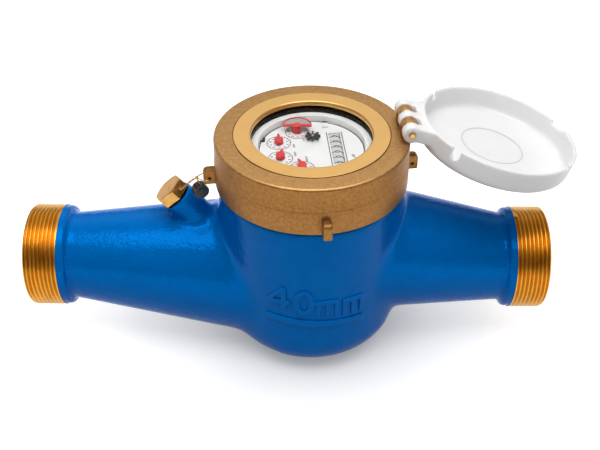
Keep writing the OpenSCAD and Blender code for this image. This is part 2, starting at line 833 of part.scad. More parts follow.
module lens() {
    bevel = 0.4;
    r = stack_r - gap;
    color(clear) translate([0, 0, lens_z]) {
        cylinder(h = lens_t - bevel, r = r);
        translate([0, 0, lens_t - bevel]) cylinder(h = bevel, r1 = r, r2 = r - bevel);
    }
}

// Clamp ring
module hinge_place() {
    rotate(hinge_bearing) translate([hinge_reach, 0, hinge_z]) children();
}

module knuckle(d, w) {
    rotate([90, 0, 0]) cylinder(h = w, r = d / 2, center = true);
}

// One ring knuckle on its block; grown by a clearance it is the relief in the lid
module ring_knuckle(grow, drop, w) {
    r = ring_knuckle_d / 2 + grow;
    knuckle(2 * r, w);
    translate([-r, -w / 2, -drop - grow]) cube([2 * r, w, drop + grow]);
}

module lug(drilled) {
    top_r = 2.6;
    root = ring_d / 2 - 3;
    z = 1;
    rotate([90, 0, 0]) difference() {
        linear_extrude(lug_w, center = true) polygon(concat(
            [[root, z], [lug_reach, z]],
            arc([lug_reach - top_r, z + lug_h - top_r], top_r, 0, 90, 5),
            [[root, z + lug_h]]));
        if (drilled) translate([lug_eye_reach, lug_hole_z, 0])
            cylinder(h = 2 * lug_w, r = lug_hole_d / 2, center = true);
    }
}

module clamp_ring() {
    r = ring_d / 2;
    win = window_d / 2;
    bore = ring_thread_d / 2;
    edge = 0.6;
    draft = 0.4;
    color(cast_brass) difference() {
        union() {
            rotate_extrude() polygon(concat(
                [[bore, ring_z], [r - edge, ring_z], [r, ring_z + edge], [r, ring_z + ring_band_h],
                    [r - draft, ring_z + ring_band_h + draft]],
                arc([r - draft - ring_edge_r, ring_top - ring_edge_r], ring_edge_r, 0, 90, 6),
                [[land_d / 2, ring_top], [land_d / 2, ring_top + land_proud],
                    [win + 0.8, ring_top + land_proud], [win, ring_top + land_proud - 0.8],
                    [win, ring_top - lip_t], [stack_r, ring_top - lip_t],
                    [stack_r, plate_top + snug], [bore, plate_top + snug]]));
            translate([0, 0, ring_z]) for (i = [0:3])
                rotate(lug_bearing + 90 * i) lug(i % 2 == 0);
            hinge_place() for (side = [-1, 1]) translate([0, side * knuckle_pitch, 0])
                ring_knuckle(0, hinge_rise + 1, knuckle_w);
        }
        hinge_place() knuckle(pin_d + 2 * snug, 8 * knuckle_pitch);
    }
}

module hinge_pin() {
    color(brass) hinge_place() knuckle(pin_d, pin_len);
}

// Lid, drawn shut and then swung about the hinge
module lid_shell() {
    h = lid_h;
    t = lid_wall;
    draft = 0.6;
    inner_edge = lid_edge_r - 1;
    rotate_extrude() polygon(concat(
        [[0, h - t], [lid_r - draft - t - inner_edge, h - t]],
        arc([lid_r - draft - t - inner_edge, h - t - inner_edge], inner_edge, 90, 0, 6),
        [[lid_r - t, 0], [lid_r, 0]],
        arc([lid_r - draft - lid_edge_r, h - lid_edge_r], lid_edge_r, 0, 90, 8),
        [[0, h]]));
}

module rim_notch(bearing, w, depth, r) {
    rotate(hinge_bearing + bearing) translate([lid_r - 3 * lid_wall, 0, 0]) rotate([90, 0, 90])
        linear_extrude(6 * lid_wall) polygon(concat(
            [[-w / 2, -1], [w / 2, -1]],
            arc([w / 2 - r, depth - r], r, 0, 90),
            arc([r - w / 2, depth - r], r, 90, 180)));
}

// Plan of the hinge arm, flaring into the lid's wall on both sides
module lid_arm_plan(half) {
    flare = 27;
    near = [hinge_reach - 3.4, half];
    far = polar(lid_r - 0.3, flare);
    side = [for (i = [0:8]) bezier(near, near - [4, 0], far + polar(4, flare - 90), far, i / 8)];
    polygon(concat(
        [[hinge_reach, -half], [hinge_reach, half]],
        side,
        arc([0, 0], lid_r - lid_wall / 2, flare, -flare, 12),
        [for (i = [8:-1:0]) [side[i][0], -side[i][1]]]));
}

module lid() {
    arm_w = 5 * knuckle_pitch - knuckle_gap;
    pocket_w = knuckle_pitch + knuckle_gap;
    pocket_grow = 0.6;
    arm_low = hinge_z - lid_rim_z;
    arm_h = arm_low - 0.6 + lid_knuckle_d / 2 - 0.8;
    step_h = 0.3;
    color(white) hinge_place() rotate([0, lid_open, 0]) difference() {
        union() {
            translate([-hinge_reach, 0, -arm_low]) rotate(-hinge_bearing) difference() {
                lid_shell();
                rim_notch(-44, 5, 6.6, 2.5);
                rim_notch(43, 4.4, 5, 2.2);
                rim_notch(160, 11, 2, 2);
                rim_notch(-136, 4, 2.4, 1);
                translate([0, 0, lid_h - lid_wall - eps]) cylinder(h = step_h, r = lid_step_d / 2);
            }
            knuckle(lid_knuckle_d, arm_w);
            translate([-hinge_reach, 0, 0.6 - arm_low]) linear_extrude(arm_h) lid_arm_plan(arm_w / 2);
        }
        for (side = [-1, 1]) translate([0, side * knuckle_pitch, 0]) for (turn = [0, -lid_stop])
            rotate([0, turn, 0]) ring_knuckle(pocket_grow, hinge_rise + 1, pocket_w);
        knuckle(pin_d + 2 * running, 8 * knuckle_pitch);
    }
}

// Regulator, its plug and the seal
module regulating_screw() {
    slot = 1.6;
    color(brass) regulator_place() difference() {
        union() {
            translate([0, 0, -screw_top - screw_len + 6]) cylinder(h = screw_len - 6, r = screw_r);
            translate([0, 0, -screw_top - screw_len]) cylinder(h = 6, r1 = 1.5, r2 = screw_r);
        }
        translate([-screw_d, -slot / 2, -screw_top - 2]) cube([2 * screw_d, slot, 3]);
    }
}

module plug_washer() {
    color(black) regulator_place() washer(boss_r - 0.8, plug_shank_r + running, plug_washer_t);
}

module regulator_plug() {
    crown = 0.8;
    color(brass) regulator_place() translate([0, 0, plug_washer_t]) difference() {
        union() {
            intersection() {
                cylinder(h = plug_h, r = plug_corner_r, $fn = 6);
                union() {
                    cylinder(h = plug_h - crown, r = plug_corner_r + 1);
                    translate([0, 0, plug_h - crown])
                        cylinder(h = crown, r1 = plug_corner_r - 0.2, r2 = plug_corner_r - 1.6);
                }
            }
            translate([0, 0, -plug_shank_h]) cylinder(h = plug_shank_h + eps, r = plug_shank_r);
        }
        translate([plug_corner_r - 2, 0, plug_h / 2]) rotate([90, 0, 0])
            cylinder(h = plug_af, r = eye_r, center = true, $fn = 24);
    }
}

// Eyes that the wire is threaded through, the knot between them and the seal below it
lug_eye = let (p = polar(lug_eye_reach, lug_bearing + 180)) [p[0], p[1], ring_z + lug_hole_z];
plug_eye = let (x = plug_corner_r - 2, z = plug_washer_t + plug_h / 2)
    [-boss_x + x * cos(boss_lean) - z * sin(boss_lean), 0,
        pipe_axis_z + boss_rise + x * sin(boss_lean) + z * cos(boss_lean)];
lug_out = let (p = polar(1, lug_bearing + 180)) [p[0], p[1], 0];
lug_front = [-lug_out[1], lug_out[0], 0];
knot = lug_eye + 7 * lug_out;
seal_at = knot + [1.5, 0, -seal_d / 2 - 4];
seal_t = 5;
strand_r = wire_d / 2 - snug;
lay = 0.55 * wire_d;

// Two strands twisted about a run of points
module twisted(run, turns) {
    across = unit([1, 0, -1]);
    last = len(run) - 1;
    for (strand = [0, 180]) {
        path = [for (i = [0:last]) let (
            d = unit(run[min(i + 1, last)] - run[max(i - 1, 0)]),
            u = unit(across - (across * d) * d),
            a = strand + 360 * turns * i / last) run[i] + lay * (cos(a) * u + sin(a) * cross(d, u))];
        tube(path, strand_r);
    }
}

module seal_wire() {
    steps = 30;
    out = plug_eye + [0, -plug_corner_r / 2, 0];
    front = lug_eye + (lug_w / 2 + 1) * lug_front;
    back = lug_eye - (lug_w / 2 + 1) * lug_front;
    bend = 2.5 * lug_front;
    plug_run = concat(
        [for (i = [0:7]) plug_eye + (out - plug_eye) * i / 8],
        [for (i = [0:steps]) bezier(out, out + [0, -3, 0], knot - [5, 0, 3], knot, i / steps)]);
    lug_run = concat(
        [for (i = [0:9]) bezier(knot, knot + bend - lug_out, front + bend, front, i / 10)],
        [for (i = [0:9]) bezier(front, front - bend, back + bend, back, i / 10)],
        [for (i = [0:10]) bezier(back, back - bend, knot - bend - lug_out, knot, i / 10)]);
    seal_run = [for (i = [0:8]) knot + (seal_at + [0, 0, 1] - knot) * i / 8];
    color(brass) {
        twisted(plug_run, 5);
        twisted(seal_run, 1);
        tube(lug_run, strand_r);
        translate(knot) sphere(lay + strand_r + 0.2, $fn = 20);
    }
}

module wire_seal() {
    press_r = 0.6 * seal_d / 2;
    color(black) translate(seal_at) difference() {
        rotate([90, 0, 25]) {
            cylinder(h = seal_t, r = seal_d / 2, center = true);
            cylinder(h = seal_t + 0.8, r = press_r, center = true);
        }
        // the wire's hole, along the line from the knot
        rotate([0, atan2(knot[0] - seal_at[0], knot[2] - seal_at[2]), 0])
            cylinder(h = seal_d, r = lay + strand_r + running, $fn = 24);
    }
}

meter_body();
strainer();
measuring_chamber();
chamber_cover();
pivot_pin();
impeller();
rotor_shaft();
drive_magnet();
pressure_plate();
plate_seal();
register_cup();
dial_plate();
follower_magnet();
follower_spindle();
star_spindle();
flow_star();
pointer_wheel(0);  // pointer_wheel_1
pointer_wheel(1);  // pointer_wheel_2
pointer_wheel(2);  // pointer_wheel_3
pointer_wheel(3);  // pointer_wheel_4
target_pointer();  // pointer_1
pointer(1);  // pointer_2
pointer(2);  // pointer_3
pointer(3);  // pointer_4
target_disc();
idler_wheel(0);  // idler_wheel_1
idler_wheel(1);  // idler_wheel_2
idler_wheel(2);  // idler_wheel_3
drum_axle();
drum(0);  // drum_1
drum(1);  // drum_2
drum(2);  // drum_3
drum(3);  // drum_4
drum(4);  // drum_5
drum(5);  // drum_6
lens_gasket();
lens();
clamp_ring();
lid();
hinge_pin();
regulating_screw();
plug_washer();
regulator_plug();
seal_wire();
wire_seal();
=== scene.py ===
import json
import math
import bpy
import numpy as np
from mathutils import Matrix, Vector


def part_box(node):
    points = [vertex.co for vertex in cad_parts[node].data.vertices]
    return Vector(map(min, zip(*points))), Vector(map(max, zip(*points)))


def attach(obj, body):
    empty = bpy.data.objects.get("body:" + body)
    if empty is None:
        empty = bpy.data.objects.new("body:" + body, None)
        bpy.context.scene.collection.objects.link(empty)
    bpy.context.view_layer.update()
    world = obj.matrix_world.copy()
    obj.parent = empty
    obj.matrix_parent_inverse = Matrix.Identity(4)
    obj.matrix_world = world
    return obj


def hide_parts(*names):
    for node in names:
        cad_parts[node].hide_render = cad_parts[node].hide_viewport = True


mm = 0.001
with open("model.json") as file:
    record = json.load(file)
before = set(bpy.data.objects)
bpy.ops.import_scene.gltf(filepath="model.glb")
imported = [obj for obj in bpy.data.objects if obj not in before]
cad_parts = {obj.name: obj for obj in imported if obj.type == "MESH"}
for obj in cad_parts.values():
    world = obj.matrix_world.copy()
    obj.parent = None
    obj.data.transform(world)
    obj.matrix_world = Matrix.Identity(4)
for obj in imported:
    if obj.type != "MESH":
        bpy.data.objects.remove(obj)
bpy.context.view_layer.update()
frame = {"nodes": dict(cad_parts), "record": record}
nodes = frame["nodes"]
print("frame loaded:", len(nodes), "nodes")


# small helpers around the operators

def deselectAll():
    if bpy.context.mode != "OBJECT":
        bpy.ops.object.mode_set(mode="OBJECT")
    bpy.ops.object.select_all(action="DESELECT")


def makeActive(piece):
    deselectAll()
    piece.select_set(True)
    bpy.context.view_layer.objects.active = piece


def openMesh(piece):
    makeActive(piece)
    bpy.ops.object.mode_set(mode="EDIT")
    bpy.ops.mesh.select_mode(type="VERT")
    bpy.ops.mesh.select_all(action="SELECT")


def closeMesh():
    bpy.ops.object.mode_set(mode="OBJECT")


# a closed loop of edges through the points
def newLoop(name, points):
    count = len(points)
    mesh = bpy.data.meshes.new(name)
    mesh.from_pydata(points, [(i, (i + 1) % count) for i in range(count)], ())
    piece = bpy.data.objects.new(name, mesh)
    bpy.context.scene.collection.objects.link(piece)
    return piece


def modify(piece, kind, **settings):
    makeActive(piece)
    modifier = piece.modifiers.new(kind, kind)
    for key, value in settings.items():
        setattr(modifier, key, value)
    bpy.ops.object.modifier_apply(modifier=modifier.name)


def weld(piece, reach=0.001 * mm):
    openMesh(piece)
    bpy.ops.mesh.remove_doubles(threshold=reach)
    bpy.ops.mesh.normals_make_consistent(inside=False)
    closeMesh()


def nodeCopy(node, name):
    piece = bpy.data.objects.new(name, nodes[node].data.copy())
    bpy.context.scene.collection.objects.link(piece)
    piece.data.materials.clear()
    weld(piece)
    return piece


# a ring or bar turned about the z axis from a closed outline of (radius, height)
def lathe(name, outline, steps=128):
    piece = newLoop(name, [(r, 0, z) for r, z in outline])
    openMesh(piece)
    bpy.ops.mesh.spin(steps=steps, angle=2 * math.pi, center=(0, 0, 0), axis=(0, 0, 1))
    closeMesh()
    weld(piece, 0.002 * mm)
    return piece


def arcPoints(cx, cz, r, start, end, count=6):
    turn = [math.radians(start + (end - start) * i / count) for i in range(count + 1)]
    return [(cx + r * math.cos(a), cz + r * math.sin(a)) for a in turn]


def cutWith(piece, tool, operation):
    modify(piece, "BOOLEAN", object=tool, operation=operation, solver="EXACT")
    bpy.data.objects.remove(tool)


def smoothByAngle(piece, degrees):
    makeActive(piece)
    bpy.ops.object.shade_smooth_by_angle(angle=math.radians(degrees))


def smoothAll(piece):
    piece.data.polygons.foreach_set("use_smooth", np.ones(len(piece.data.polygons), bool))


def vertexTable(piece):
    table = np.empty(len(piece.data.vertices) * 3)
    piece.data.vertices.foreach_get("co", table)
    return table.reshape(-1, 3)


def selectOnly(piece, mask):
    openMesh(piece)
    bpy.ops.mesh.select_all(action="DESELECT")
    closeMesh()
    piece.data.vertices.foreach_set("select", mask.astype(bool))
    bpy.ops.object.mode_set(mode="EDIT")


def relax(piece, mask, repeat):
    selectOnly(piece, mask)
    bpy.ops.mesh.vertices_smooth(factor=0.5, repeat=repeat)
    closeMesh()


def relaxAll(piece, repeat):
    relax(piece, np.ones(len(piece.data.vertices), bool), repeat)


def joinPieces(pieces, name):
    deselectAll()
    for piece in pieces:
        piece.select_set(True)
    bpy.context.view_layer.objects.active = pieces[0]
    bpy.ops.object.join()
    pieces[0].name = name
    return pieces[0]


def bar(length, width, depth):
    deselectAll()
    bpy.ops.mesh.primitive_cube_add(size=1)
    piece = bpy.context.object
    piece.data.transform(Matrix.Diagonal((length, width, depth, 1)))
    return piece


def polar(r, degrees):
    return Vector((r * math.cos(math.radians(degrees)), r * math.sin(math.radians(degrees)), 0))


# shader groups shared by the materials

def newGroup(name, inputs, outputs):
    group = bpy.data.node_groups.new(name, "ShaderNodeTree")
    for label, value in inputs.items():
        socket = group.interface.new_socket(label, in_out="INPUT", socket_type="NodeSocketFloat")
        socket.default_value = value
    for label in outputs:
        group.interface.new_socket(label, in_out="OUTPUT", socket_type="NodeSocketFloat")
    return group, group.nodes.new("NodeGroupInput"), group.nodes.new("NodeGroupOutput")


def link(tree, fromSocket, toSocket):
    tree.links.new(fromSocket, toSocket)


def mathNode(tree, operation, first, second):
    node = tree.nodes.new("ShaderNodeMath")
    node.operation = operation
    for socket, value in zip(node.inputs, (first, second)):
        if isinstance(value, (int, float)):
            socket.default_value = value
        else:
            link(tree, value, socket)
    return node.outputs[0]


# fine and coarse noise in one height, with a mask for tints
def makeSurfaceGrain():
    group, given, result = newGroup("surfaceGrain",
                                    {"Fine Scale": 900.0, "Coarse Scale": 150.0, "Coarse Share": 0.5},
                                    ["Height", "Tint"])
    place = group.nodes.new("ShaderNodeTexCoord")
    fine = group.nodes.new("ShaderNodeTexNoise")
    fine.inputs["Detail"].default_value = 3
    coarse = group.nodes.new("ShaderNodeTexNoise")
    coarse.inputs["Detail"].default_value = 2
    for noise, scale in ((fine, "Fine Scale"), (coarse, "Coarse Scale")):
        link(group, place.outputs["Object"], noise.inputs["Vector"])
        link(group, given.outputs[scale], noise.inputs["Scale"])
    rest = mathNode(group, "SUBTRACT", 1.0, given.outputs["Coarse Share"])
    finePart = mathNode(group, "MULTIPLY", fine.outputs["Fac"], rest)
    coarsePart = mathNode(group, "MULTIPLY", coarse.outputs["Fac"], given.outputs["Coarse Share"])
    link(group, mathNode(group, "ADD", finePart, coarsePart), result.inputs["Height"])
    link(group, coarse.outputs["Fac"], result.inputs["Tint"])
    return group


# turning marks: rings about the bowl's axis
def makeTurningMarks():
    group, given, result = newGroup("turningMarks", {"Rings": 2500.0}, ["Height"])
    place = group.nodes.new("ShaderNodeTexCoord")
    split = group.nodes.new("ShaderNodeSeparateXYZ")
    link(group, place.outputs["Object"], split.inputs[0])
    squareX = mathNode(group, "MULTIPLY", split.outputs["X"], split.outputs["X"])
    squareY = mathNode(group, "MULTIPLY", split.outputs["Y"], split.outputs["Y"])
    radius = mathNode(group, "SQRT", mathNode(group, "ADD", squareX, squareY), 0.0)
    noise = group.nodes.new("ShaderNodeTexNoise")
    noise.noise_dimensions = "1D"
    noise.inputs["Detail"].default_value = 2
    link(group, radius, noise.inputs["W"])
    link(group, given.outputs["Rings"], noise.inputs["Scale"])
    link(group, noise.outputs["Fac"], result.inputs["Height"])
    return group


surfaceGrain = makeSurfaceGrain()
turningMarks = makeTurningMarks()


def newMaterial(name, look):
    material = bpy.data.materials.new(name)
    material.use_nodes = True
    tree = material.node_tree
    shader = tree.nodes["Principled BSDF"]
    for socket, value in look.items():
        shader.inputs[socket].default_value = value
    return material, tree, shader


# a material whose colour and roughness drift with the grain, over a bump of the grain
def grainedMaterial(name, look, colours, roughness, grain, bump):
    material, tree, shader = newMaterial(name, look)
    group = tree.nodes.new("ShaderNodeGroup")
    group.node_tree = surfaceGrain
    for socket, value in grain.items():
        group.inputs[socket].default_value = value
    ramp = tree.nodes.new("ShaderNodeValToRGB")
    ramp.color_ramp.elements[0].position = 0.3
    ramp.color_ramp.elements[1].position = 0.7
    ramp.color_ramp.elements[0].color = (*colours[0], 1)
    ramp.color_ramp.elements[1].color = (*colours[1], 1)
    link(tree, group.outputs["Tint"], ramp.inputs["Fac"])
    link(tree, ramp.outputs["Color"], shader.inputs["Base Color"])
    spread = tree.nodes.new("ShaderNodeMapRange")
    spread.inputs["To Min"].default_value = roughness[0]
    spread.inputs["To Max"].default_value = roughness[1]
    link(tree, group.outputs["Height"], spread.inputs["Value"])
    link(tree, spread.outputs["Result"], shader.inputs["Roughness"])
    bumpNode = tree.nodes.new("ShaderNodeBump")
    bumpNode.inputs["Strength"].default_value = bump[0]
    bumpNode.inputs["Distance"].default_value = bump[1]
    link(tree, group.outputs["Height"], bumpNode.inputs["Height"])
    link(tree, bumpNode.outputs["Normal"], shader.inputs["Normal"])
    return material


enamel = grainedMaterial(
    "blueEnamel", {"Metallic": 0.14, "Specular IOR Level": 0.06, "Specular Tint": (0.02, 0.45, 1.0, 1)},
    ((0.000, 0.138, 0.490), (0.000, 0.150, 0.525)), (0.04, 0.08),
    {"Fine Scale": 560.0, "Coarse Scale": 150.0, "Coarse Share": 0.5}, (0.6, 0.75 * mm))
# cast brass in two copies: a lighter one for the ring's upward faces, which is painted light, and a darker
# one for its sides and the rest, which is painted shade
castBrassLitTop = grainedMaterial(
    "castBrassLitTop", {"Metallic": 1.0},
    ((0.475, 0.258, 0.094), (0.60, 0.342, 0.130)), (0.38, 0.55),
    {"Fine Scale": 1700.0, "Coarse Scale": 620.0, "Coarse Share": 0.45}, (0.7, 0.32 * mm))
castBrassShaded = grainedMaterial(
    "castBrassShaded", {"Metallic": 1.0},
    ((0.248, 0.114, 0.032), (0.345, 0.167, 0.051)), (0.40, 0.57),
    {"Fine Scale": 1700.0, "Coarse Scale": 620.0, "Coarse Share": 0.45}, (0.7, 0.32 * mm))
threadBrass = grainedMaterial(
    "threadBrass", {"Metallic": 1.0},
    ((0.58, 0.276, 0.029), (0.69, 0.334, 0.041)), (0.28, 0.40),
    {"Fine Scale": 1800.0, "Coarse Scale": 120.0, "Coarse Share": 0.5}, (0.12, 0.1 * mm))
plugBrass = grainedMaterial(
    "plugBrass", {"Metallic": 1.0},
    ((0.56, 0.30, 0.080), (0.72, 0.41, 0.125)), (0.36, 0.50),
    {"Fine Scale": 1500.0, "Coarse Scale": 260.0, "Coarse Share": 0.5}, (0.2, 0.1 * mm))
innerBrass = grainedMaterial(
    "innerBrass", {"Metallic": 1.0},
    ((0.40, 0.25, 0.11), (0.52, 0.33, 0.15)), (0.45, 0.65),
    {"Fine Scale": 900.0, "Coarse Scale": 120.0, "Coarse Share": 0.5}, (0.4, 0.3 * mm))
lidWhite = grainedMaterial(
    "lidWhite", {"Specular IOR Level": 0.5, "Subsurface Weight": 0.7, "Subsurface Radius": (1, 0.97, 0.94),
                 "Subsurface Scale": 5 * mm},
    ((0.83, 0.82, 0.82), (0.86, 0.85, 0.85)), (0.24, 0.34),
    {"Fine Scale": 700.0, "Coarse Scale": 60.0, "Coarse Share": 0.5}, (0.06, 0.2 * mm))
# grey of the thin ring on the lid's floor: painted shade along the step's edge
lidStepShade = grainedMaterial(
    "lidStepShade", {"Specular IOR Level": 0.4},
    ((0.54, 0.535, 0.535), (0.60, 0.595, 0.595)), (0.4, 0.5),
    {"Fine Scale": 700.0, "Coarse Scale": 60.0, "Coarse Share": 0.5}, (0.05, 0.1 * mm))
dialWhite = grainedMaterial(
    "dialWhite", {"Specular IOR Level": 0.4},
    ((0.82, 0.82, 0.82), (0.86, 0.86, 0.86)), (0.40, 0.50),
    {"Fine Scale": 1500.0, "Coarse Scale": 100.0, "Coarse Share": 0.4}, (0.05, 0.1 * mm))
# the register cup's white, lighter than the dial's: painted light that lifts the shade the ring and gasket
# cast on the cup's wall
cupWhiteLit = grainedMaterial(
    "cupWhiteLit", {"Specular IOR Level": 0.4},
    ((0.92, 0.92, 0.91), (0.95, 0.95, 0.94)), (0.40, 0.50),
    {"Fine Scale": 1500.0, "Coarse Scale": 100.0, "Coarse Share": 0.4}, (0.05, 0.1 * mm))
drumGrey = grainedMaterial(
    "drumGrey", {"Specular IOR Level": 0.4},
    ((0.62, 0.63, 0.62), (0.70, 0.71, 0.70)), (0.40, 0.50),
    {"Fine Scale": 1500.0, "Coarse Scale": 300.0, "Coarse Share": 0.4}, (0.05, 0.1 * mm))
pointerRed = grainedMaterial(
    "pointerRed", {"Specular IOR Level": 0.5},
    ((0.66, 0.012, 0.016), (0.74, 0.020, 0.024)), (0.28, 0.38),
    {"Fine Scale": 1500.0, "Coarse Scale": 400.0, "Coarse Share": 0.4}, (0.05, 0.1 * mm))
blackRubber = grainedMaterial(
    "blackRubber", {"Specular IOR Level": 0.06},
    ((0.002, 0.0015, 0.0015), (0.004, 0.003, 0.003)), (0.30, 0.45),
    {"Fine Scale": 1200.0, "Coarse Scale": 200.0, "Coarse Share": 0.4}, (0.1, 0.1 * mm))
starBlack = grainedMaterial(
    "starBlack", {"Specular IOR Level": 0.5},
    ((0.014, 0.014, 0.015), (0.022, 0.022, 0.024)), (0.35, 0.5),
    {"Fine Scale": 1500.0, "Coarse Scale": 300.0, "Coarse Share": 0.4}, (0.08, 0.1 * mm))
sealBlack = grainedMaterial(
    "sealBlack", {"Specular IOR Level": 0.5},
    ((0.004, 0.007, 0.009), (0.010, 0.016, 0.020)), (0.14, 0.34),
    {"Fine Scale": 1100.0, "Coarse Scale": 380.0, "Coarse Share": 0.6}, (0.4, 0.4 * mm))
printInk = grainedMaterial(
    "printInk", {"Specular IOR Level": 0.3},
    ((0.020, 0.020, 0.022), (0.035, 0.035, 0.038)), (0.5, 0.6),
    {"Fine Scale": 1500.0, "Coarse Scale": 300.0, "Coarse Share": 0.4}, (0.02, 0.05 * mm))
steelBright = grainedMaterial(
    "steelBright", {"Metallic": 1.0},
    ((0.46, 0.46, 0.47), (0.58, 0.58, 0.59)), (0.28, 0.42),
    {"Fine Scale": 2000.0, "Coarse Scale": 300.0, "Coarse Share": 0.4}, (0.1, 0.1 * mm))
targetGrey = grainedMaterial(
    "targetGrey", {"Specular IOR Level": 0.3},
    ((0.36, 0.335, 0.315), (0.42, 0.395, 0.375)), (0.4, 0.5),
    {"Fine Scale": 2000.0, "Coarse Scale": 300.0, "Coarse Share": 0.4}, (0.1, 0.1 * mm))
acetalCream = grainedMaterial(
    "acetalCream", {"Specular IOR Level": 0.5},
    ((0.70, 0.68, 0.60), (0.76, 0.74, 0.66)), (0.4, 0.5),
    {"Fine Scale": 1500.0, "Coarse Scale": 200.0, "Coarse Share": 0.4}, (0.05, 0.1 * mm))
amberPlastic = grainedMaterial(
    "amberPlastic", {"Specular IOR Level": 0.5},
    ((0.58, 0.44, 0.16), (0.64, 0.50, 0.20)), (0.35, 0.5),
    {"Fine Scale": 1200.0, "Coarse Scale": 150.0, "Coarse Share": 0.4}, (0.08, 0.1 * mm))


# turned faces of the ring: the land and the window's wall
def makeTurnedBrass():
    material, tree, shader = newMaterial("turnedBrass", {"Metallic": 1.0, "Roughness": 0.36})
    marks = tree.nodes.new("ShaderNodeGroup")
    marks.node_tree = turningMarks
    marks.inputs["Rings"].default_value = 2600.0
    grain = tree.nodes.new("ShaderNodeGroup")
    grain.node_tree = surfaceGrain
    grain.inputs["Fine Scale"].default_value = 1600.0
    grain.inputs["Coarse Scale"].default_value = 90.0
    ramp = tree.nodes.new("ShaderNodeValToRGB")
    ramp.color_ramp.elements[0].color = (0.82, 0.48, 0.160, 1)
    ramp.color_ramp.elements[1].color = (0.90, 0.55, 0.195, 1)
    link(tree, grain.outputs["Tint"], ramp.inputs["Fac"])
    link(tree, ramp.outputs["Color"], shader.inputs["Base Color"])
    both = mathNode(tree, "ADD", marks.outputs["Height"], grain.outputs["Height"])
    bumpNode = tree.nodes.new("ShaderNodeBump")
    bumpNode.inputs["Strength"].default_value = 0.22
    bumpNode.inputs["Distance"].default_value = 0.08 * mm
    link(tree, both, bumpNode.inputs["Height"])
    link(tree, bumpNode.outputs["Normal"], shader.inputs["Normal"])
    return material


turnedBrass = makeTurnedBrass()
lensGlass = newMaterial("lensGlass", {"Base Color": (0.99, 0.995, 0.99, 1), "Roughness": 0.0, "IOR": 1.10,
                                      "Transmission Weight": 1.0})[0]
print("materials made:", len(bpy.data.materials))


def finishPiece(piece, material, body, slot, *replaced):
    if material is not None:
        piece.data.materials.clear()
        piece.data.materials.append(material)
    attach(piece, body)
    if replaced:
        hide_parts(*replaced)
    return piece


# blue casting: the solid's own walls, with soft fillets where the cones and the boss meet

casting = {"axisZ": 47 * mm, "bowlR": 52.2 * mm, "footR": 23 * mm, "voxel": 1.15 * mm,
           "inletCut": -142.5 * mm, "outletCut": 114.5 * mm,
           "cutZ": 60 * mm, "cutSide": 200 * mm, "skin": 2.6 * mm, "paintSkin": 3 * mm,
           "seamBowl": 9 * mm, "seamCone": 10 * mm, "seamLow": 2 * mm, "seamHigh": 99 * mm,
           "filletRepeat": 60, "bossRepeat": 5, "allRepeat": 4, "innerKeep": 0.22,
           "bossX": -76.4 * mm, "bossZ": 90.5 * mm, "bossLean": 41, "bossR": 8.5 * mm, "bossFootR": 17 * mm,
           "bossFootTop": -7 * mm, "bossFootX": -48 * mm, "bossKeepR": 9 * mm,
           "inletNeck": (-140.5 * mm, 47 * mm, 25.3 * mm), "inletRoot": (-20 * mm, 39.9 * mm, 43.3 * mm),
           "outletNeck": (112.5 * mm, 47 * mm, 25.7 * mm), "outletRoot": (20 * mm, 56.7 * mm, 39.3 * mm)}


# signed distance from each point to a cone's skin, from its neck and root (x, z, radius)
def coneDepth(points, neck, root):
    share = (points[:, 0] - neck[0]) / (root[0] - neck[0])
    middle = neck[1] + (root[1] - neck[1]) * share
    radius = neck[2] + (root[2] - neck[2]) * share
    return np.hypot(points[:, 1], points[:, 2] - middle) - radius


# the same for the cone on each point's own side of the bowl
def coneSide(points):
    c = casting
    return np.where(points[:, 0] < 0, coneDepth(points, c["inletNeck"], c["inletRoot"]),
                    coneDepth(points, c["outletNeck"], c["outletRoot"]))


# points within a skin's depth of the casting's outside: bowl wall, its rounded foot and the cones
def outerSkin(points, depth):
    c = casting
    radial = np.hypot(points[:, 0], points[:, 1])
    footCentre = c["bowlR"] - c["footR"]
    footDepth = np.hypot(radial - footCentre, points[:, 2] - c["footR"]) - c["footR"]
    inFoot = (points[:, 2] < c["footR"]) & (radial > footCentre)
    bowlDepth = np.where(inFoot, footDepth, np.maximum(radial - c["bowlR"], -points[:, 2]))
    nearest = np.where(radial > c["bowlR"] - depth, coneSide(points), bowlDepth)
    return np.minimum(bowlDepth, nearest) > -depth


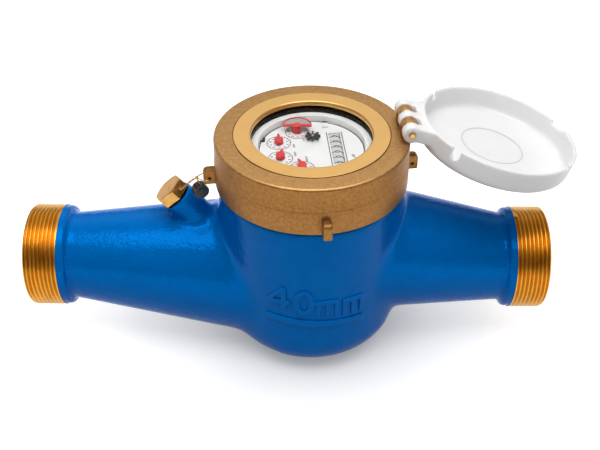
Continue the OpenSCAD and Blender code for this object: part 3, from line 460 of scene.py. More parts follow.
def makeCasting():
    c = casting
    piece = nodeCopy("meter_body", "castBody")
    length = c["outletCut"] - c["inletCut"]
    deselectAll()
    bpy.ops.mesh.primitive_cube_add(size=1, location=((c["inletCut"] + c["outletCut"]) / 2, 0, c["cutZ"]),
                                    scale=(length, c["cutSide"], c["cutSide"]))
    cutWith(piece, bpy.context.object, "INTERSECT")
    modify(piece, "REMESH", mode="VOXEL", voxel_size=c["voxel"])
    points = vertexTable(piece)
    radial = np.hypot(points[:, 0], points[:, 1])
    outside = outerSkin(points, c["skin"])
    # fillets: skin that lies near both the bowl and a cone
    seam = outside & (np.abs(radial - c["bowlR"]) < c["seamBowl"])
    seam &= np.abs(coneSide(points)) < c["seamCone"]
    seam &= (points[:, 2] > c["seamLow"]) & (points[:, 2] < c["seamHigh"])
    relax(piece, seam, c["filletRepeat"])
    # the boss's foot
    lean = math.radians(c["bossLean"])
    bossAxis = np.array((-math.sin(lean), 0, math.cos(lean)))
    fromBoss = points - np.array((c["bossX"], 0, c["bossZ"]))
    along = fromBoss @ bossAxis
    aside = np.linalg.norm(fromBoss - np.outer(along, bossAxis), axis=1)
    foot = outside & (aside > c["bossR"]) & (aside < c["bossFootR"])
    foot &= (along < c["bossFootTop"]) & (points[:, 0] < c["bossFootX"])
    relax(piece, foot, c["bossRepeat"])
    relaxAll(piece, c["allRepeat"])
    # the hidden walls need few faces
    inner = ~outside & (aside > c["bossKeepR"])
    selectOnly(piece, inner)
    bpy.ops.mesh.decimate(ratio=c["innerKeep"])
    closeMesh()
    piece.data.materials.append(enamel)
    piece.data.materials.append(innerBrass)
    middles = np.empty(len(piece.data.polygons) * 3)
    piece.data.polygons.foreach_get("center", middles)
    middles = middles.reshape(-1, 3)
    hidden = ~outerSkin(middles, c["paintSkin"])
    piece.data.polygons.foreach_set("material_index", hidden.astype(np.int32))
    smoothAll(piece)
    finishPiece(piece, None, "meter", "enamel", "meter_body")
    return piece


castBody = makeCasting()
print("casting:", len(castBody.data.polygons), "faces")


# pipe ends: collar, bare thread and bore, one shape used twice

pipeEnd = {"threadR": 29.8 * mm, "rootR": 28.45 * mm, "pitch": 2.309 * mm, "threadLen": 19 * mm,
           "chamfer": 1.2 * mm, "flank": 27.5, "rootHalf": 0.16 * mm, "rootDip": 0.10 * mm, "clear": 0.6 * mm,
           "lead": 1.2, "turns": 9, "steps": 72, "edge": 0.14 * mm, "edgeAngle": 38,
           "boreR": 19.9 * mm, "boreEdge": 0.6 * mm, "bareR": 24 * mm,
           "collarR": 29.3 * mm, "collarW": 4.5 * mm, "collarEdge": 2.2 * mm, "collarStep": 0.15 * mm,
           "neckFillet": 1.6 * mm, "neckSunk": 1.6 * mm, "around": 144}


# the space between two crests, wound along the thread as a cutter
def threadGroove():
    p = pipeEnd
    half = p["rootHalf"]
    sideR = p["rootR"] + p["rootDip"]
    outR = p["threadR"] + p["clear"]
    wide = half + (outR - p["rootR"]) * math.tan(math.radians(p["flank"]))
    section = [(sideR, -half), (p["rootR"], 0), (sideR, half), (outR, wide), (outR, -wide)]
    start = -p["lead"] * p["pitch"]
    coil = newLoop("threadGroove", [(r, 0, z + start) for r, z in section])
    modify(coil, "SCREW", screw_offset=p["pitch"], iterations=p["turns"], steps=p["steps"],
           render_steps=p["steps"], use_merge_vertices=True)
    openMesh(coil)
    bpy.ops.mesh.remove_doubles(threshold=0.0005 * mm)
    bpy.ops.mesh.select_all(action="SELECT")
    bpy.ops.mesh.fill_holes(sides=8)
    bpy.ops.mesh.select_all(action="SELECT")
    bpy.ops.mesh.normals_make_consistent(inside=False)
    closeMesh()
    return coil


# built along z with its face at 0, then laid on the pipe's axis
def makePipeEnd(name, neckR, faceX, turnSign):
    p = pipeEnd
    collarStart = p["threadLen"] + p["collarStep"]
    collarEnd = p["threadLen"] + p["collarW"]
    filletZ = collarEnd + p["neckFillet"]
    outline = [(p["boreR"], p["boreEdge"]), (p["boreR"] + p["boreEdge"], 0), (p["threadR"] - p["chamfer"], 0),
               (p["threadR"], p["chamfer"]), (p["threadR"], p["threadLen"]), (p["collarR"], collarStart)]
    outline += arcPoints(p["collarR"] - p["collarEdge"], collarEnd - p["collarEdge"], p["collarEdge"], 0, 80)
    outline += arcPoints(neckR + p["neckFillet"] - p["collarStep"], filletZ, p["neckFillet"], 260, 180)
    outline += [(neckR - p["neckSunk"], filletZ + 0.2 * mm), (p["boreR"] + 1 * mm, collarEnd),
                (p["boreR"], collarEnd)]
    piece = lathe(name, outline, p["around"])
    cutWith(piece, threadGroove(), "DIFFERENCE")
    weld(piece, 0.003 * mm)
    modify(piece, "BEVEL", width=p["edge"], segments=2, limit_method="ANGLE",
           angle_limit=math.radians(p["edgeAngle"]))
    piece.data.materials.append(enamel)
    piece.data.materials.append(threadBrass)
    for face in piece.data.polygons:
        onThread = face.center.z < p["threadLen"] + 0.02 * mm
        inBore = face.center.to_2d().length < p["bareR"]
        face.material_index = 1 if onThread or inBore else 0
    turn = Matrix.Rotation(math.radians(90 * turnSign), 4, "Y")
    piece.data.transform(Matrix.Translation((faceX, 0, casting["axisZ"])) @ turn)
    smoothByAngle(piece, 40)
    return finishPiece(piece, None, "meter", "brass")


bodyLow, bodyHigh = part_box("meter_body")
inletEnd = makePipeEnd("inletEnd", casting["inletNeck"][2], bodyLow.x, 1)
outletEnd = makePipeEnd("outletEnd", casting["outletNeck"][2], bodyHigh.x, -1)
print("pipe ends:", len(inletEnd.data.polygons), "and", len(outletEnd.data.polygons), "faces")


# clamp ring: turned ring with cast lugs and hinge knuckles

ring = {"r": 53.5 * mm, "base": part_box("clamp_ring")[0].z, "height": 28.2 * mm,
        "landR": 42.4 * mm, "landProud": 0.4 * mm, "landEdge": 0.2 * mm,
        "grooveDepth": 0.5 * mm, "grooveW": (0.3 * mm, 0.45 * mm),
        "windowR": 32.9 * mm, "windowEdge": 0.9 * mm, "lip": 2.4 * mm, "edgeR": 1.6 * mm,
        "footEdge": 0.8 * mm, "bandH": 14 * mm, "draft": 0.4 * mm, "boreR": 47.8 * mm,
        "stackR": 42.2 * mm, "plateTop": 9.32 * mm,
        "lugReach": 59.9 * mm, "lugSunk": 3 * mm, "lugLift": 1 * mm, "lugW": 4.75 * mm, "lugH": 9.3 * mm,
        "lugRound": 2.6 * mm, "lugEdge": 0.75 * mm, "lugBearing": 8,
        "lugHoleZ": 4.8 * mm, "lugHoleR": 1.1 * mm, "lugHoleIn": 3.4 * mm, "drillLen": 20 * mm,
        "hingeBearing": 4.8, "hingeReach": 51.6 * mm, "hingeRise": 5.4 * mm, "knuckleR": 4.6 * mm,
        "knucklePitch": 6.3 * mm, "knuckleW": 6.0 * mm, "knuckleSunk": 1 * mm, "knuckleEdge": 0.5 * mm,
        "pinR": 1.5 * mm, "pinPlay": 0.02 * mm, "turnedDepth": 3 * mm, "litTopDepth": 0.7 * mm, "around": 160}


def makeLug(drilled):
    g = ring
    root = g["r"] - g["lugSunk"]
    lug = bar(g["lugReach"] - root, g["lugW"], g["lugH"])
    lug.data.transform(Matrix.Translation(((g["lugReach"] + root) / 2, 0, g["lugLift"] + g["lugH"] / 2)))
    # round the outer top edge first, then all the others
    openMesh(lug)
    bpy.ops.mesh.select_all(action="DESELECT")
    closeMesh()
    for edge in lug.data.edges:
        ends = [lug.data.vertices[i].co for i in edge.vertices]
        edge.select = all(e.x > g["lugReach"] - 0.1 * mm and e.z > g["lugH"] for e in ends)
    bpy.ops.object.mode_set(mode="EDIT")
    bpy.ops.mesh.select_mode(type="EDGE")
    bpy.ops.mesh.bevel(offset=g["lugRound"], segments=6)
    closeMesh()
    modify(lug, "BEVEL", width=g["lugEdge"], segments=3, limit_method="ANGLE", angle_limit=math.radians(50))
    if drilled:
        deselectAll()
        bpy.ops.mesh.primitive_cylinder_add(vertices=24, radius=g["lugHoleR"], depth=g["drillLen"],
                                            location=(g["lugReach"] - g["lugHoleIn"], 0, g["lugHoleZ"]),
                                            rotation=(math.pi / 2, 0, 0))
        cutWith(lug, bpy.context.object, "DIFFERENCE")
    return lug


# round over the pin, straight sided down into the ring
def makeRingKnuckle():
    g = ring
    drop = g["hingeRise"] + g["knuckleSunk"]
    outline = arcPoints(0, 0, g["knuckleR"], 0, 180, 24)
    outline += [(-g["knuckleR"], -drop), (g["knuckleR"], -drop)]
    knuckle = newLoop("ringKnuckle", [(x, -g["knuckleW"] / 2, z) for x, z in outline])
    openMesh(knuckle)
    bpy.ops.mesh.edge_face_add()
    bpy.ops.mesh.extrude_region_move(TRANSFORM_OT_translate={"value": (0, g["knuckleW"], 0)})
    closeMesh()
    weld(knuckle)
    deselectAll()
    bpy.ops.mesh.primitive_cylinder_add(vertices=32, radius=g["pinR"] + g["pinPlay"], depth=g["drillLen"],
                                        rotation=(math.pi / 2, 0, 0))
    cutWith(knuckle, bpy.context.object, "DIFFERENCE")
    modify(knuckle, "BEVEL", width=g["knuckleEdge"], segments=3, limit_method="ANGLE",
           angle_limit=math.radians(50))
    return knuckle


def makeClampRing():
    g = ring
    top = g["height"]
    landTop = top + g["landProud"]
    grooveFloor = top - g["grooveDepth"]
    foot = g["footEdge"]
    window = g["windowEdge"]
    outline = [(g["boreR"], 0), (g["r"] - foot, 0)]
    outline += arcPoints(g["r"] - foot, foot, foot, -60, 0, 4)
    # the low band's soft step
    outline += [(g["r"], g["bandH"] - 0.3 * mm), (g["r"] - 0.12 * mm, g["bandH"]),
                (g["r"] - g["draft"], g["bandH"] + 0.7 * mm)]
    outline += arcPoints(g["r"] - g["draft"] - g["edgeR"], top - g["edgeR"], g["edgeR"], 0, 90, 8)
    # the groove, the raised land and the window's edge
    outline += [(g["landR"] + g["grooveW"][1], top), (g["landR"] + g["grooveW"][0], grooveFloor),
                (g["landR"], grooveFloor), (g["landR"], landTop - g["landEdge"]),
                (g["landR"] - g["landEdge"], landTop), (g["windowR"] + 1.0 * mm, landTop)]
    outline += arcPoints(g["windowR"] + window, landTop - window, window, 95, 180, 5)
    outline += [(g["windowR"], top - g["lip"]), (g["stackR"], top - g["lip"]), (g["stackR"], g["plateTop"]),
                (g["boreR"], g["plateTop"])]
    piece = lathe("clampRing", outline, g["around"])
    for i in range(4):
        lug = makeLug(i % 2 == 0)
        lug.data.transform(Matrix.Rotation(math.radians(g["lugBearing"] + 90 * i), 4, "Z"))
        cutWith(piece, lug, "UNION")
    for side in (-1, 1):
        knuckle = makeRingKnuckle()
        place = Matrix.Translation((g["hingeReach"], side * g["knucklePitch"], top + g["hingeRise"]))
        knuckle.data.transform(Matrix.Rotation(math.radians(g["hingeBearing"]), 4, "Z") @ place)
        cutWith(piece, knuckle, "UNION")
    piece.data.transform(Matrix.Translation((0, 0, g["base"])))
    piece.data.materials.clear()
    for finish in (castBrassShaded, turnedBrass, castBrassLitTop):
        piece.data.materials.append(finish)
    # upward faces near the top take the lighter painted-light copy; the other cast faces keep the darker
    # painted-shade copy
    for face in piece.data.polygons:
        r = face.center.to_2d().length
        below = g["base"] + top - face.center.z
        if r < g["landR"] - 0.02 * mm and below < g["turnedDepth"]:
            face.material_index = 1
        elif below < g["litTopDepth"] and face.normal.z > 0.3:
            face.material_index = 2
    smoothByAngle(piece, 35)
    return finishPiece(piece, None, "meter", "cast_brass", "clamp_ring")


clampRing = makeClampRing()
print("clamp ring:", len(clampRing.data.polygons), "faces")


# lid: the moulding's own walls with every edge softened

lidShape = {"voxel": 0.55 * mm, "repeat": 3}


def makeLid():
    piece = nodeCopy("lid", "hingedLid")
    modify(piece, "REMESH", mode="VOXEL", voxel_size=lidShape["voxel"])
    relaxAll(piece, lidShape["repeat"])
    smoothAll(piece)
    return finishPiece(piece, lidWhite, "cover_lid", "white", "lid")


hingedLid = makeLid()


# a thin grey ring on the lid's floor, painted shade along the edge of its round step, set out shut and swung
# open
lidStep = {"r": 17.5 * mm, "line": 0.4 * mm, "proud": 0.1 * mm, "open": 193, "ceilingZ": 145.2 * mm}


def makeLidStep():
    h = lidStep
    half = h["line"] / 2
    piece = lathe("lidStepEdge", [(h["r"] - half, 0), (h["r"] + half, 0), (h["r"] + half, -h["proud"]),
                                  (h["r"] - half, -h["proud"])], 128)
    piece.data.transform(Matrix.Translation((0, 0, h["ceilingZ"])))
    pin = polar(ring["hingeReach"], ring["hingeBearing"])
    pin.z = ring["base"] + ring["height"] + ring["hingeRise"]
    axis = polar(1, ring["hingeBearing"] + 90)
    swing = Matrix.Rotation(math.radians(h["open"]), 4, axis)
    piece.data.transform(Matrix.Translation(pin) @ swing @ Matrix.Translation(-pin))
    return finishPiece(piece, lidStepShade, "cover_lid", "white")


makeLidStep()
print("lid:", len(hingedLid.data.polygons), "faces")


# small parts whose solids only need their edges broken

def brokenEdges(node, name, material, body, slot, width, segments=2):
    piece = nodeCopy(node, name)
    openMesh(piece)
    bpy.ops.mesh.tris_convert_to_quads(face_threshold=math.radians(2), shape_threshold=math.radians(60))
    bpy.ops.mesh.dissolve_limited(angle_limit=math.radians(1))
    closeMesh()
    modify(piece, "BEVEL", width=width, segments=segments, limit_method="ANGLE",
           angle_limit=math.radians(40))
    smoothByAngle(piece, 35)
    modify(piece, "WEIGHTED_NORMAL", keep_sharp=True)
    return finishPiece(piece, material, body, slot, node)


# hexagon plug, turned off at its corners, drilled for the wire and leant with its boss
plug = {"across": 17 * mm, "h": 6.6 * mm, "washer": 1 * mm, "shankR": 7.2 * mm, "shankH": 8 * mm,
        "shankInto": 0.1 * mm, "eyeR": 0.9 * mm, "eyeIn": 2 * mm, "crown": 1.0 * mm, "faceR": 8.1 * mm,
        "clearR": 1 * mm, "clearH": 0.2 * mm, "turn": 30, "edge": 0.28 * mm,
        "at": (-76.4 * mm, 0, 90.5 * mm), "lean": -41}


def makePlug():
    g = plug
    corner = g["across"] / math.sqrt(3)
    deselectAll()
    bpy.ops.mesh.primitive_cylinder_add(vertices=6, radius=corner, depth=g["h"])
    piece = bpy.context.object
    piece.name = "plugHead"
    lift = Matrix.Translation((0, 0, g["h"] / 2))
    piece.data.transform(lift @ Matrix.Rotation(math.radians(g["turn"]), 4, "Z"))
    top = g["h"]
    outR = corner + g["clearR"]
    turning = [(g["faceR"], top + g["clearH"]), (g["faceR"], top), (outR, top - g["crown"]),
               (outR, top + g["clearH"])]
    cutWith(piece, lathe("plugTurning", turning, 96), "DIFFERENCE")
    deselectAll()
    bpy.ops.mesh.primitive_cylinder_add(vertices=32, radius=g["eyeR"], depth=2 * g["across"])
    drill = bpy.context.object
    eye = Matrix.Translation((corner - g["eyeIn"], 0, g["h"] / 2))
    drill.data.transform(eye @ Matrix.Rotation(math.pi / 2, 4, "X"))
    cutWith(piece, drill, "DIFFERENCE")
    modify(piece, "BEVEL", width=g["edge"], segments=2, limit_method="ANGLE", angle_limit=math.radians(35))
    deselectAll()
    bpy.ops.mesh.primitive_cylinder_add(vertices=64, radius=g["shankR"], depth=g["shankH"])
    shank = bpy.context.object
    shank.data.transform(Matrix.Translation((0, 0, g["shankInto"] - g["shankH"] / 2)))
    cutWith(piece, shank, "UNION")
    lean = Matrix.Rotation(math.radians(g["lean"]), 4, "Y") @ Matrix.Translation((0, 0, g["washer"]))
    piece.data.transform(Matrix.Translation(g["at"]) @ lean)
    smoothByAngle(piece, 35)
    modify(piece, "WEIGHTED_NORMAL", keep_sharp=True)
    return finishPiece(piece, plugBrass, "meter", "brass", "regulator_plug")


makePlug()
brokenEdges("hinge_pin", "hingePin", plugBrass, "meter", "brass", 0.25 * mm)
for k, body in ((1, "lead_pointer"), (2, "second_pointer"), (3, "third_pointer"), (4, "fourth_pointer")):
    brokenEdges("pointer_%d" % k, "redPointer%d" % k, pointerRed, body, "red", 0.12 * mm)
print("small parts done")


# flow star: eight square arms on a small hub

starLow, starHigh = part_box("flow_star")
star = {"r": (starHigh.x - starLow.x) / 2, "t": starHigh.z - starLow.z, "hub": 1.75 * mm, "bore": 0.53 * mm,
        "armW": 1.15 * mm, "arms": 8, "edge": 0.16 * mm}


def makeStar():
    g = star
    half = g["t"] / 2
    hub = [(g["bore"], -half), (g["hub"], -half), (g["hub"], half), (g["bore"], half)]
    piece = lathe("flowStar", hub, 48)
    length = g["r"] - (g["bore"] + g["hub"]) / 2
    for i in range(g["arms"]):
        arm = bar(length, g["armW"], 0.96 * g["t"])
        arm.data.transform(Matrix.Translation((g["r"] - length / 2, 0, 0)))
        arm.data.transform(Matrix.Rotation(2 * math.pi * i / g["arms"], 4, "Z"))
        cutWith(piece, arm, "UNION")
    modify(piece, "BEVEL", width=g["edge"], segments=2, limit_method="ANGLE", angle_limit=math.radians(40))
    piece.data.transform(Matrix.Translation((starLow + starHigh) / 2))
    smoothByAngle(piece, 35)
    return finishPiece(piece, starBlack, "star", "black", "flow_star")


makeStar()
print("flow star done")


# printing on the dial: four scales and the drum window's borders, and a dark ring along the dial's edge where
# it meets the cup wall

dial = {"z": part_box("dial_plate")[1].z, "bearing": 5, "edgeR": 29.1 * mm, "ink": 0.03 * mm,
        "pointerReach": 19.05 * mm, "pointerStep": 46.4, "scaleR": 6.75 * mm, "lineW": 0.36 * mm,
        "digitR": 5.0 * mm, "digitH": 2.1 * mm,
        "tick": (1.0 * mm, 0.32 * mm), "factorR": 8.8 * mm, "factorH": 1.7 * mm,
        "drumReach": 13.85 * mm, "drumPitch": 5.15 * mm, "borderHalf": 4.2 * mm, "borderLen": 33 * mm,
        "borderW": 1.3, "rimW": 1.6, "rimIn": 0.1 * mm, "unitH": 3.2 * mm, "unitAt": (8.2 * mm, -8.5 * mm),
        "notchShadeR": (0.2 * mm, 1.6 * mm), "holeShadeH": 0.5 * mm, "notchAt": (7.6 * mm, 27.0 * mm),
        "slotAt": (-26.4 * mm, 9.0 * mm), "slotLegs": ((1.3 * mm, 3.6 * mm), (2.6 * mm, 1.2 * mm)),
        "slotStep": (1.0 * mm, 1.6 * mm), "tab": (3.4 * mm, 4.4 * mm, 1.0 * mm), "tabIn": 3.0 * mm,
        "tabEdge": 0.3 * mm}


# lettering as a thin solid, centred on the origin
def letters(body, size, depth):
    deselectAll()
    bpy.ops.object.text_add()
    piece = bpy.context.object
    piece.data.body = body
    piece.data.size = size
    piece.data.extrude = depth / 2
    piece.data.offset = 0.020 * size
    piece.data.align_x = "CENTER"
    piece.data.align_y = "CENTER"
    bpy.ops.object.convert(target="MESH")
    piece = bpy.context.object
    weld(piece)
    return piece


def flatRing(r, width, depth):
    half = depth / 2
    return lathe("flatRing", [(r - width, -half), (r, -half), (r, half), (r - width, half)], 96)


def moved(piece, x, y, z, degrees=0):
    piece.data.transform(Matrix.Translation((x, y, z)) @ Matrix.Rotation(math.radians(degrees), 4, "Z"))
    return piece


def makeDialPrint():
    d = dial
    marks = []
    z = d["z"] + d["ink"] / 2
    upright = d["bearing"] - 90
    for k, factor in enumerate(("0.1", "0.01", "0.001", "0.0001")):
        bearing = 180 + d["bearing"] + (k - 1.5) * d["pointerStep"]
        at = polar(d["pointerReach"], bearing)
        marks.append(moved(flatRing(d["scaleR"], d["lineW"], d["ink"]), at.x, at.y, z))
        for digit in range(10):
            turn = d["bearing"] + 90 - 36 * digit
            out = polar(d["digitR"], turn)
            figure = letters(str(digit), d["digitH"], d["ink"])
            marks.append(moved(figure, at.x + out.x, at.y + out.y, z, upright))
            tick = polar(d["scaleR"] - d["tick"][0] / 2, turn - 18)
            marks.append(moved(bar(*d["tick"], d["ink"]), at.x + tick.x, at.y + tick.y, z, turn - 18))
        label = polar(d["pointerReach"] - d["factorR"], bearing)
        marks.append(moved(letters("x" + factor, d["factorH"], d["ink"]), label.x, label.y, z, upright))
    swing = Matrix.Rotation(math.radians(d["bearing"]), 3, "Z")
    for side in (-1, 1):
        at = swing @ Vector((d["drumReach"] + side * d["borderHalf"], 0, 0))
        border = bar(d["borderW"] * d["lineW"], d["borderLen"], d["ink"])
        marks.append(moved(border, at.x, at.y, z, d["bearing"]))
    unit = swing @ Vector((d["drumReach"] + d["unitAt"][0], d["unitAt"][1], 0))
    marks.append(moved(letters("m\u00b3", d["unitH"], d["ink"]), unit.x, unit.y, z, upright))
    # a dark ring along the dial's edge, where the dial meets the cup wall
    marks.append(moved(flatRing(d["edgeR"] - d["rimIn"], d["rimW"] * d["lineW"], d["ink"]), 0, 0, z))
    return finishPiece(joinPieces(marks, "dialPrint"), printInk, "meter", "black")


dialPrint = makeDialPrint()


# painted shade at the dial's rim: a black half round for a notch hole over a white tab at the back, and a
# black L for a corner slot at the side
def makeDialClips():
    d = dial
    innerR, outerR = d["notchShadeR"]
    height = d["holeShadeH"]
    back = lathe("notchShade", [(innerR, 0), (outerR, 0), (outerR, height), (innerR, height)], 48)
    openMesh(back)
    bpy.ops.mesh.bisect(plane_co=(0, 0, 0), plane_no=(0, 1, 0), use_fill=True, clear_inner=True)
    closeMesh()
    moved(back, *d["notchAt"], d["z"])
    # the black L: painted shade in the corner slot at the rim
    x, y = d["slotAt"]
    z = d["z"] + height / 2
    upright, foot = d["slotLegs"]
    legs = [moved(bar(*upright, height), x, y, z),
            moved(bar(*foot, height), x - d["slotStep"][0], y - d["slotStep"][1], z)]
    finishPiece(joinPieces([back] + legs, "rimHoleShades"), starBlack, "meter", "black")
    tab = moved(bar(*d["tab"]), d["notchAt"][0], d["notchAt"][1] - d["tabIn"], d["z"] + d["tab"][2] / 2)
    modify(tab, "BEVEL", width=d["tabEdge"], segments=2)
    tab.name = "dialTab"
    finishPiece(tab, dialWhite, "meter", "white")


makeDialClips()
print("dial print:", len(dialPrint.data.polygons), "faces")


# numbers round each drum, 0 to 9

drum = {"r": 5.0 * mm, "z": 116.45 * mm, "count": 6, "digitH": 4.3 * mm, "ink": 0.05 * mm, "cuts": 9,
        "cutSpan": 0.8}


def makeDrumDigits():
    d = drum
    digits = []
    for value in range(10):
        digit = letters(str(value), d["digitH"], d["ink"])
        openMesh(digit)
        for i in range(d["cuts"]):
            level = d["digitH"] * d["cutSpan"] * ((i + 0.5) / d["cuts"] - 0.5)
            bpy.ops.mesh.select_all(action="SELECT")
            bpy.ops.mesh.bisect(plane_co=(0, level, 0), plane_no=(0, 1, 0))
        closeMesh()
        points = vertexTable(digit)
        turn = points[:, 1] / d["r"] - math.radians(36 * value)
        reach = d["r"] + points[:, 2] + d["ink"] / 4
        wrapped = np.stack((reach * np.sin(turn), -points[:, 0], reach * np.cos(turn)), axis=1)
        digit.data.vertices.foreach_set("co", wrapped.ravel())
        digits.append(digit)
    first = joinPieces(digits, "drumDigits1")
    rows = [first]
    for k in range(2, d["count"] + 1):
        row = bpy.data.objects.new("drumDigits%d" % k, first.data.copy())
        bpy.context.scene.collection.objects.link(row)
        rows.append(row)
    for k, row in enumerate(rows):
        along = (d["count"] / 2 - k - 0.5) * dial["drumPitch"]
        place = Matrix.Translation((dial["drumReach"], along, d["z"]))
        row.data.transform(Matrix.Rotation(math.radians(dial["bearing"]), 4, "Z") @ place)
        finishPiece(row, printInk, "drum_%d_body" % (k + 1), "black")


makeDrumDigits()
print("drum numbers done")


# the nominal size cast in relief on the bowl, over a raised bar

relief = {"r": 52.2 * mm, "proud": 1.05 * mm, "sunk": 1.2 * mm, "voxel": 0.38 * mm, "repeat": 3,
          "letters": (("4", -27.6, -12.6, 50.6 * mm, 16.4 * mm), ("0", -10.6, 2.2, 47.4 * mm, 17.8 * mm),
                      ("m", 3.2, 17.0, 45.4 * mm, 12.4 * mm), ("m", 19.2, 33.6, 44.2 * mm, 12.6 * mm)),
          "strokes": {"4": ((0.74, 0.5, 0.22, 1.0, 0), (0.5, 0.32, 1.0, 0.18, 0),
                            (0.40, 0.66, 0.98, 0.17, 45)),
                      "m": ((0.1, 0.5, 0.2, 1.0, 0), (0.5, 0.5, 0.2, 1.0, 0), (0.9, 0.5, 0.2, 1.0, 0),
                            (0.5, 0.9, 1.0, 0.2, 0))},
          "thick": 0.2, "bolder": 0.026,
          "barFrom": -28.0, "barTo": 33.6, "barZ": 39.4 * mm, "barH": 4.0 * mm, "barFall": 0.06}


# a flat letter or bar stretched to a box from two bearings, its foot falling to the right
def reliefBlock(piece, left, right, foot, height, fall):
    g = relief
    points = vertexTable(piece)
    small, large = points.min(axis=0), points.max(axis=0)
    share = (points - small) / (large - small)
    start, end = math.radians(left) * g["r"], math.radians(right) * g["r"]
    along = start + share[:, 0] * (end - start)
    up = foot - fall * along + share[:, 1] * height
    depth = share[:, 2] * (g["sunk"] + g["proud"]) - g["sunk"]
    piece.data.vertices.foreach_set("co", np.stack((along, up, depth), axis=1).ravel())
    return piece


# a letter from its straight strokes in a unit box, or from the plain face where it is round
def boldLetters(body):
    if body in relief["strokes"]:
        bars = []
        for x, y, length, width, turn in relief["strokes"][body]:
            bars.append(moved(bar(length, width, relief["thick"]), x, y, 0, turn))
        return joinPieces(bars, "letterStrokes")
    deselectAll()
    bpy.ops.object.text_add()
    piece = bpy.context.object
    piece.data.body = body
    piece.data.size = 1
    piece.data.extrude = relief["thick"] / 2
    piece.data.offset = relief["bolder"]
    bpy.ops.object.convert(target="MESH")
    piece = bpy.context.object
    weld(piece)
    return piece


def makeRelief():
    g = relief
    blocks = [reliefBlock(boldLetters(letter), left, right, foot, height, 0)
              for letter, left, right, foot, height in g["letters"]]
    strip = bar(1, 1, 1)
    openMesh(strip)
    bpy.ops.mesh.subdivide(number_cuts=3)
    closeMesh()
    blocks.append(reliefBlock(strip, g["barFrom"], g["barTo"], g["barZ"], g["barH"], g["barFall"]))
    piece = joinPieces(blocks, "sizeRelief")
    modify(piece, "REMESH", mode="VOXEL", voxel_size=g["voxel"])
    relaxAll(piece, g["repeat"])
    points = vertexTable(piece)
    turn = points[:, 0] / g["r"] - math.pi / 2
    reach = g["r"] + points[:, 2]
    wrapped = np.stack((reach * np.cos(turn), reach * np.sin(turn), points[:, 1]), axis=1)
    piece.data.vertices.foreach_set("co", wrapped.ravel())
    smoothAll(piece)
    weld(piece)
    return finishPiece(piece, enamel, "meter", "enamel")


sizeRelief = makeRelief()
print("relief:", len(sizeRelief.data.polygons), "faces")


# seal wire and crimped seal

def makeWire():
    piece = nodeCopy("seal_wire", "sealWire")
    modify(piece, "SUBSURF", levels=1, render_levels=1)
    smoothAll(piece)
    return finishPiece(piece, plugBrass, "meter", "brass", "seal_wire")


makeWire()
brokenEdges("wire_seal", "crimpedSeal", sealBlack, "meter", "seal", 0.6 * mm, segments=3)
print("seal done")


# materials for the CAD nodes that show as they are

nodeLooks = {"enamel": enamel, "cast_brass": castBrassShaded, "brass": plugBrass, "white": dialWhite,
             "acetal": acetalCream, "amber": amberPlastic, "red": pointerRed, "black": starBlack,
             "rubber": blackRubber, "steel": steelBright, "seal": sealBlack, "lens": lensGlass}
for entry in frame["record"]["subparts"]:
    solid = nodes[entry["node"]]
    solid.data.materials.clear()
    solid.data.materials.append(nodeLooks[entry["material_slot"]])
    if entry["node"].startswith("drum_") and entry["node"] != "drum_axle":
        solid.data.materials[0] = drumGrey
    # the cup takes the lighter painted-light white
    if entry["node"] == "register_cup":
        solid.data.materials[0] = cupWhiteLit
    if entry["node"] == "target_disc":
        solid.data.materials[0] = targetGrey


# camera, floor and light

cameraView = {"azimuth": 0.478, "elevation": 38.084, "distance": 514.52 * mm,
              "target": Vector((-6.377 * mm, 0, 69.757 * mm)), "lens": 52.99, "sensor": 36, "near": 0.01}


def placeCamera():
    v = cameraView
    camera = bpy.data.cameras.new("photoCamera")
    camera.lens = v["lens"]
    camera.sensor_width = v["sensor"]
    camera.clip_start = v["near"]
    holder = bpy.data.objects.new("photoCamera", camera)
    bpy.context.scene.collection.objects.link(holder)
    azimuth, elevation = math.radians(v["azimuth"]), math.radians(v["elevation"])
    away = Vector((math.cos(elevation) * math.sin(azimuth), -math.cos(elevation) * math.cos(azimuth),
                   math.sin(elevation)))
    holder.location = v["target"] + v["distance"] * away
    holder.rotation_euler = (-away).to_track_quat("-Z", "Y").to_euler()
    bpy.context.scene.camera = holder


studio = {"floorSize": 60.0, "floorGrey": 0.52,
          "floorGlowShade": ((0.03, 0.12), (0.055, 0.42), (0.10, 0.68), (0.17, 0.94), (0.30, 1.0)),
          "softbox": {"place": (0.0, -0.15, 1.05), "size": (1.15, 0.60), "power": 8.3, "aim": (0, 0, 0.05)},
          "strip": {"place": (0.26, -0.47, 0.90), "size": (0.32, 0.10), "power": 0.35,
                    "aim": (0.08, 0, 0.07)},
          "roomSteps": ((0.0, 1.1), (0.03, 0.9), (0.08, 0.30), (0.16, 0.28), (0.24, 0.11), (0.55, 0.17),
                        (0.85, 0.45), (1.0, 0.60)),
          "screenBehind": {"From Min": 0.25, "From Max": 0.75, "To Max": 0.95},
          "screenAbove": {"From Min": 0.25, "From Max": 0.5}, "roomStrength": 0.9}
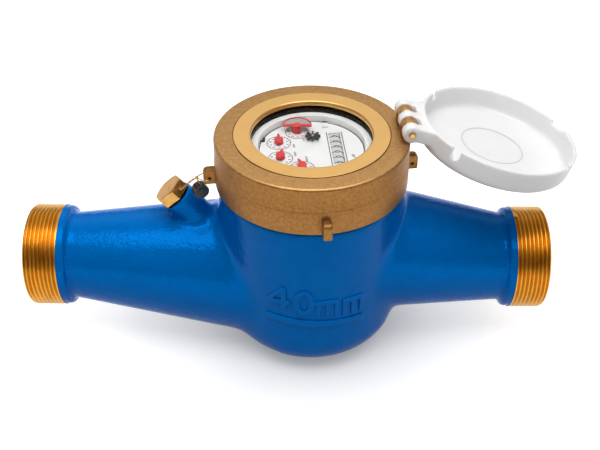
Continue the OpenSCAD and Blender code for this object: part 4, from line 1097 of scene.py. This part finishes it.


# a pale floor whose glow falls off towards the meter, painting a shadow round its foot
def makeFloor():
    s = studio
    deselectAll()
    bpy.ops.mesh.primitive_plane_add(size=s["floorSize"], location=(0, 0, 0))
    floor = bpy.context.object
    floor.name = "paleFloor"
    look = {"Base Color": (*[s["floorGrey"]] * 3, 1), "Roughness": 0.9, "Specular IOR Level": 0.1}
    material, tree, shader = newMaterial("paleFloor", look)
    place = tree.nodes.new("ShaderNodeTexCoord")
    length = tree.nodes.new("ShaderNodeVectorMath")
    length.operation = "LENGTH"
    link(tree, place.outputs["Object"], length.inputs[0])
    # lower glow near the meter is a painted contact shadow round its foot
    glow = tree.nodes.new("ShaderNodeFloatCurve")
    curve = glow.mapping.curves[0]
    curve.points[0].location = s["floorGlowShade"][0]
    curve.points[1].location = s["floorGlowShade"][-1]
    for near, strength in s["floorGlowShade"][1:-1]:
        curve.points.new(near, strength)
    glow.mapping.update()
    link(tree, length.outputs["Value"], glow.inputs["Value"])
    path = tree.nodes.new("ShaderNodeLightPath")
    seen = mathNode(tree, "MAXIMUM", path.outputs["Is Camera Ray"], path.outputs["Is Glossy Ray"])
    seen = mathNode(tree, "MAXIMUM", seen, path.outputs["Is Transmission Ray"])
    link(tree, mathNode(tree, "MULTIPLY", glow.outputs["Value"], seen), shader.inputs["Emission Strength"])
    shader.inputs["Emission Color"].default_value = (1, 1, 1, 1)
    floor.data.materials.append(material)


def addSoftbox(name, place, size, power, aim):
    lamp = bpy.data.lights.new(name, "AREA")
    lamp.shape = "RECTANGLE"
    lamp.size, lamp.size_y = size
    lamp.energy = power
    holder = bpy.data.objects.new(name, lamp)
    bpy.context.scene.collection.objects.link(holder)
    holder.location = place
    holder.rotation_euler = (Vector(aim) - Vector(place)).to_track_quat("-Z", "Y").to_euler()


def softStep(tree, value, limits):
    step = tree.nodes.new("ShaderNodeMapRange")
    step.interpolation_type = "SMOOTHSTEP"
    for socket, limit in limits.items():
        step.inputs[socket].default_value = limit
    link(tree, value, step.inputs["Value"])
    return step.outputs["Result"]


# the room: pale low down, dim at eye level, bright overhead and behind the meter
def makeWorld():
    s = studio
    world = bpy.data.worlds.new("studioRoom")
    bpy.context.scene.world = world
    world.use_nodes = True
    tree = world.node_tree
    ground = tree.nodes["Background"]
    place = tree.nodes.new("ShaderNodeTexCoord")
    split = tree.nodes.new("ShaderNodeSeparateXYZ")
    link(tree, place.outputs["Generated"], split.inputs[0])
    ramp = tree.nodes.new("ShaderNodeValToRGB")
    while len(ramp.color_ramp.elements) < len(s["roomSteps"]):
        ramp.color_ramp.elements.new(0.5)
    for element, (position, grey) in zip(ramp.color_ramp.elements, s["roomSteps"]):
        element.position = position
        element.color = (grey, grey, grey, 1)
    link(tree, split.outputs["Z"], ramp.inputs["Fac"])
    screen = mathNode(tree, "MULTIPLY", softStep(tree, split.outputs["Y"], s["screenBehind"]),
                      softStep(tree, split.outputs["Z"], s["screenAbove"]))
    link(tree, mathNode(tree, "ADD", ramp.outputs["Color"], screen), ground.inputs["Color"])
    ground.inputs["Strength"].default_value = s["roomStrength"]


placeCamera()
makeFloor()
makeWorld()
addSoftbox("topSoftbox", **studio["softbox"])
addSoftbox("rightStrip", **studio["strip"])
bpy.context.scene.view_settings.view_transform = "Standard"
print("stage and light done")
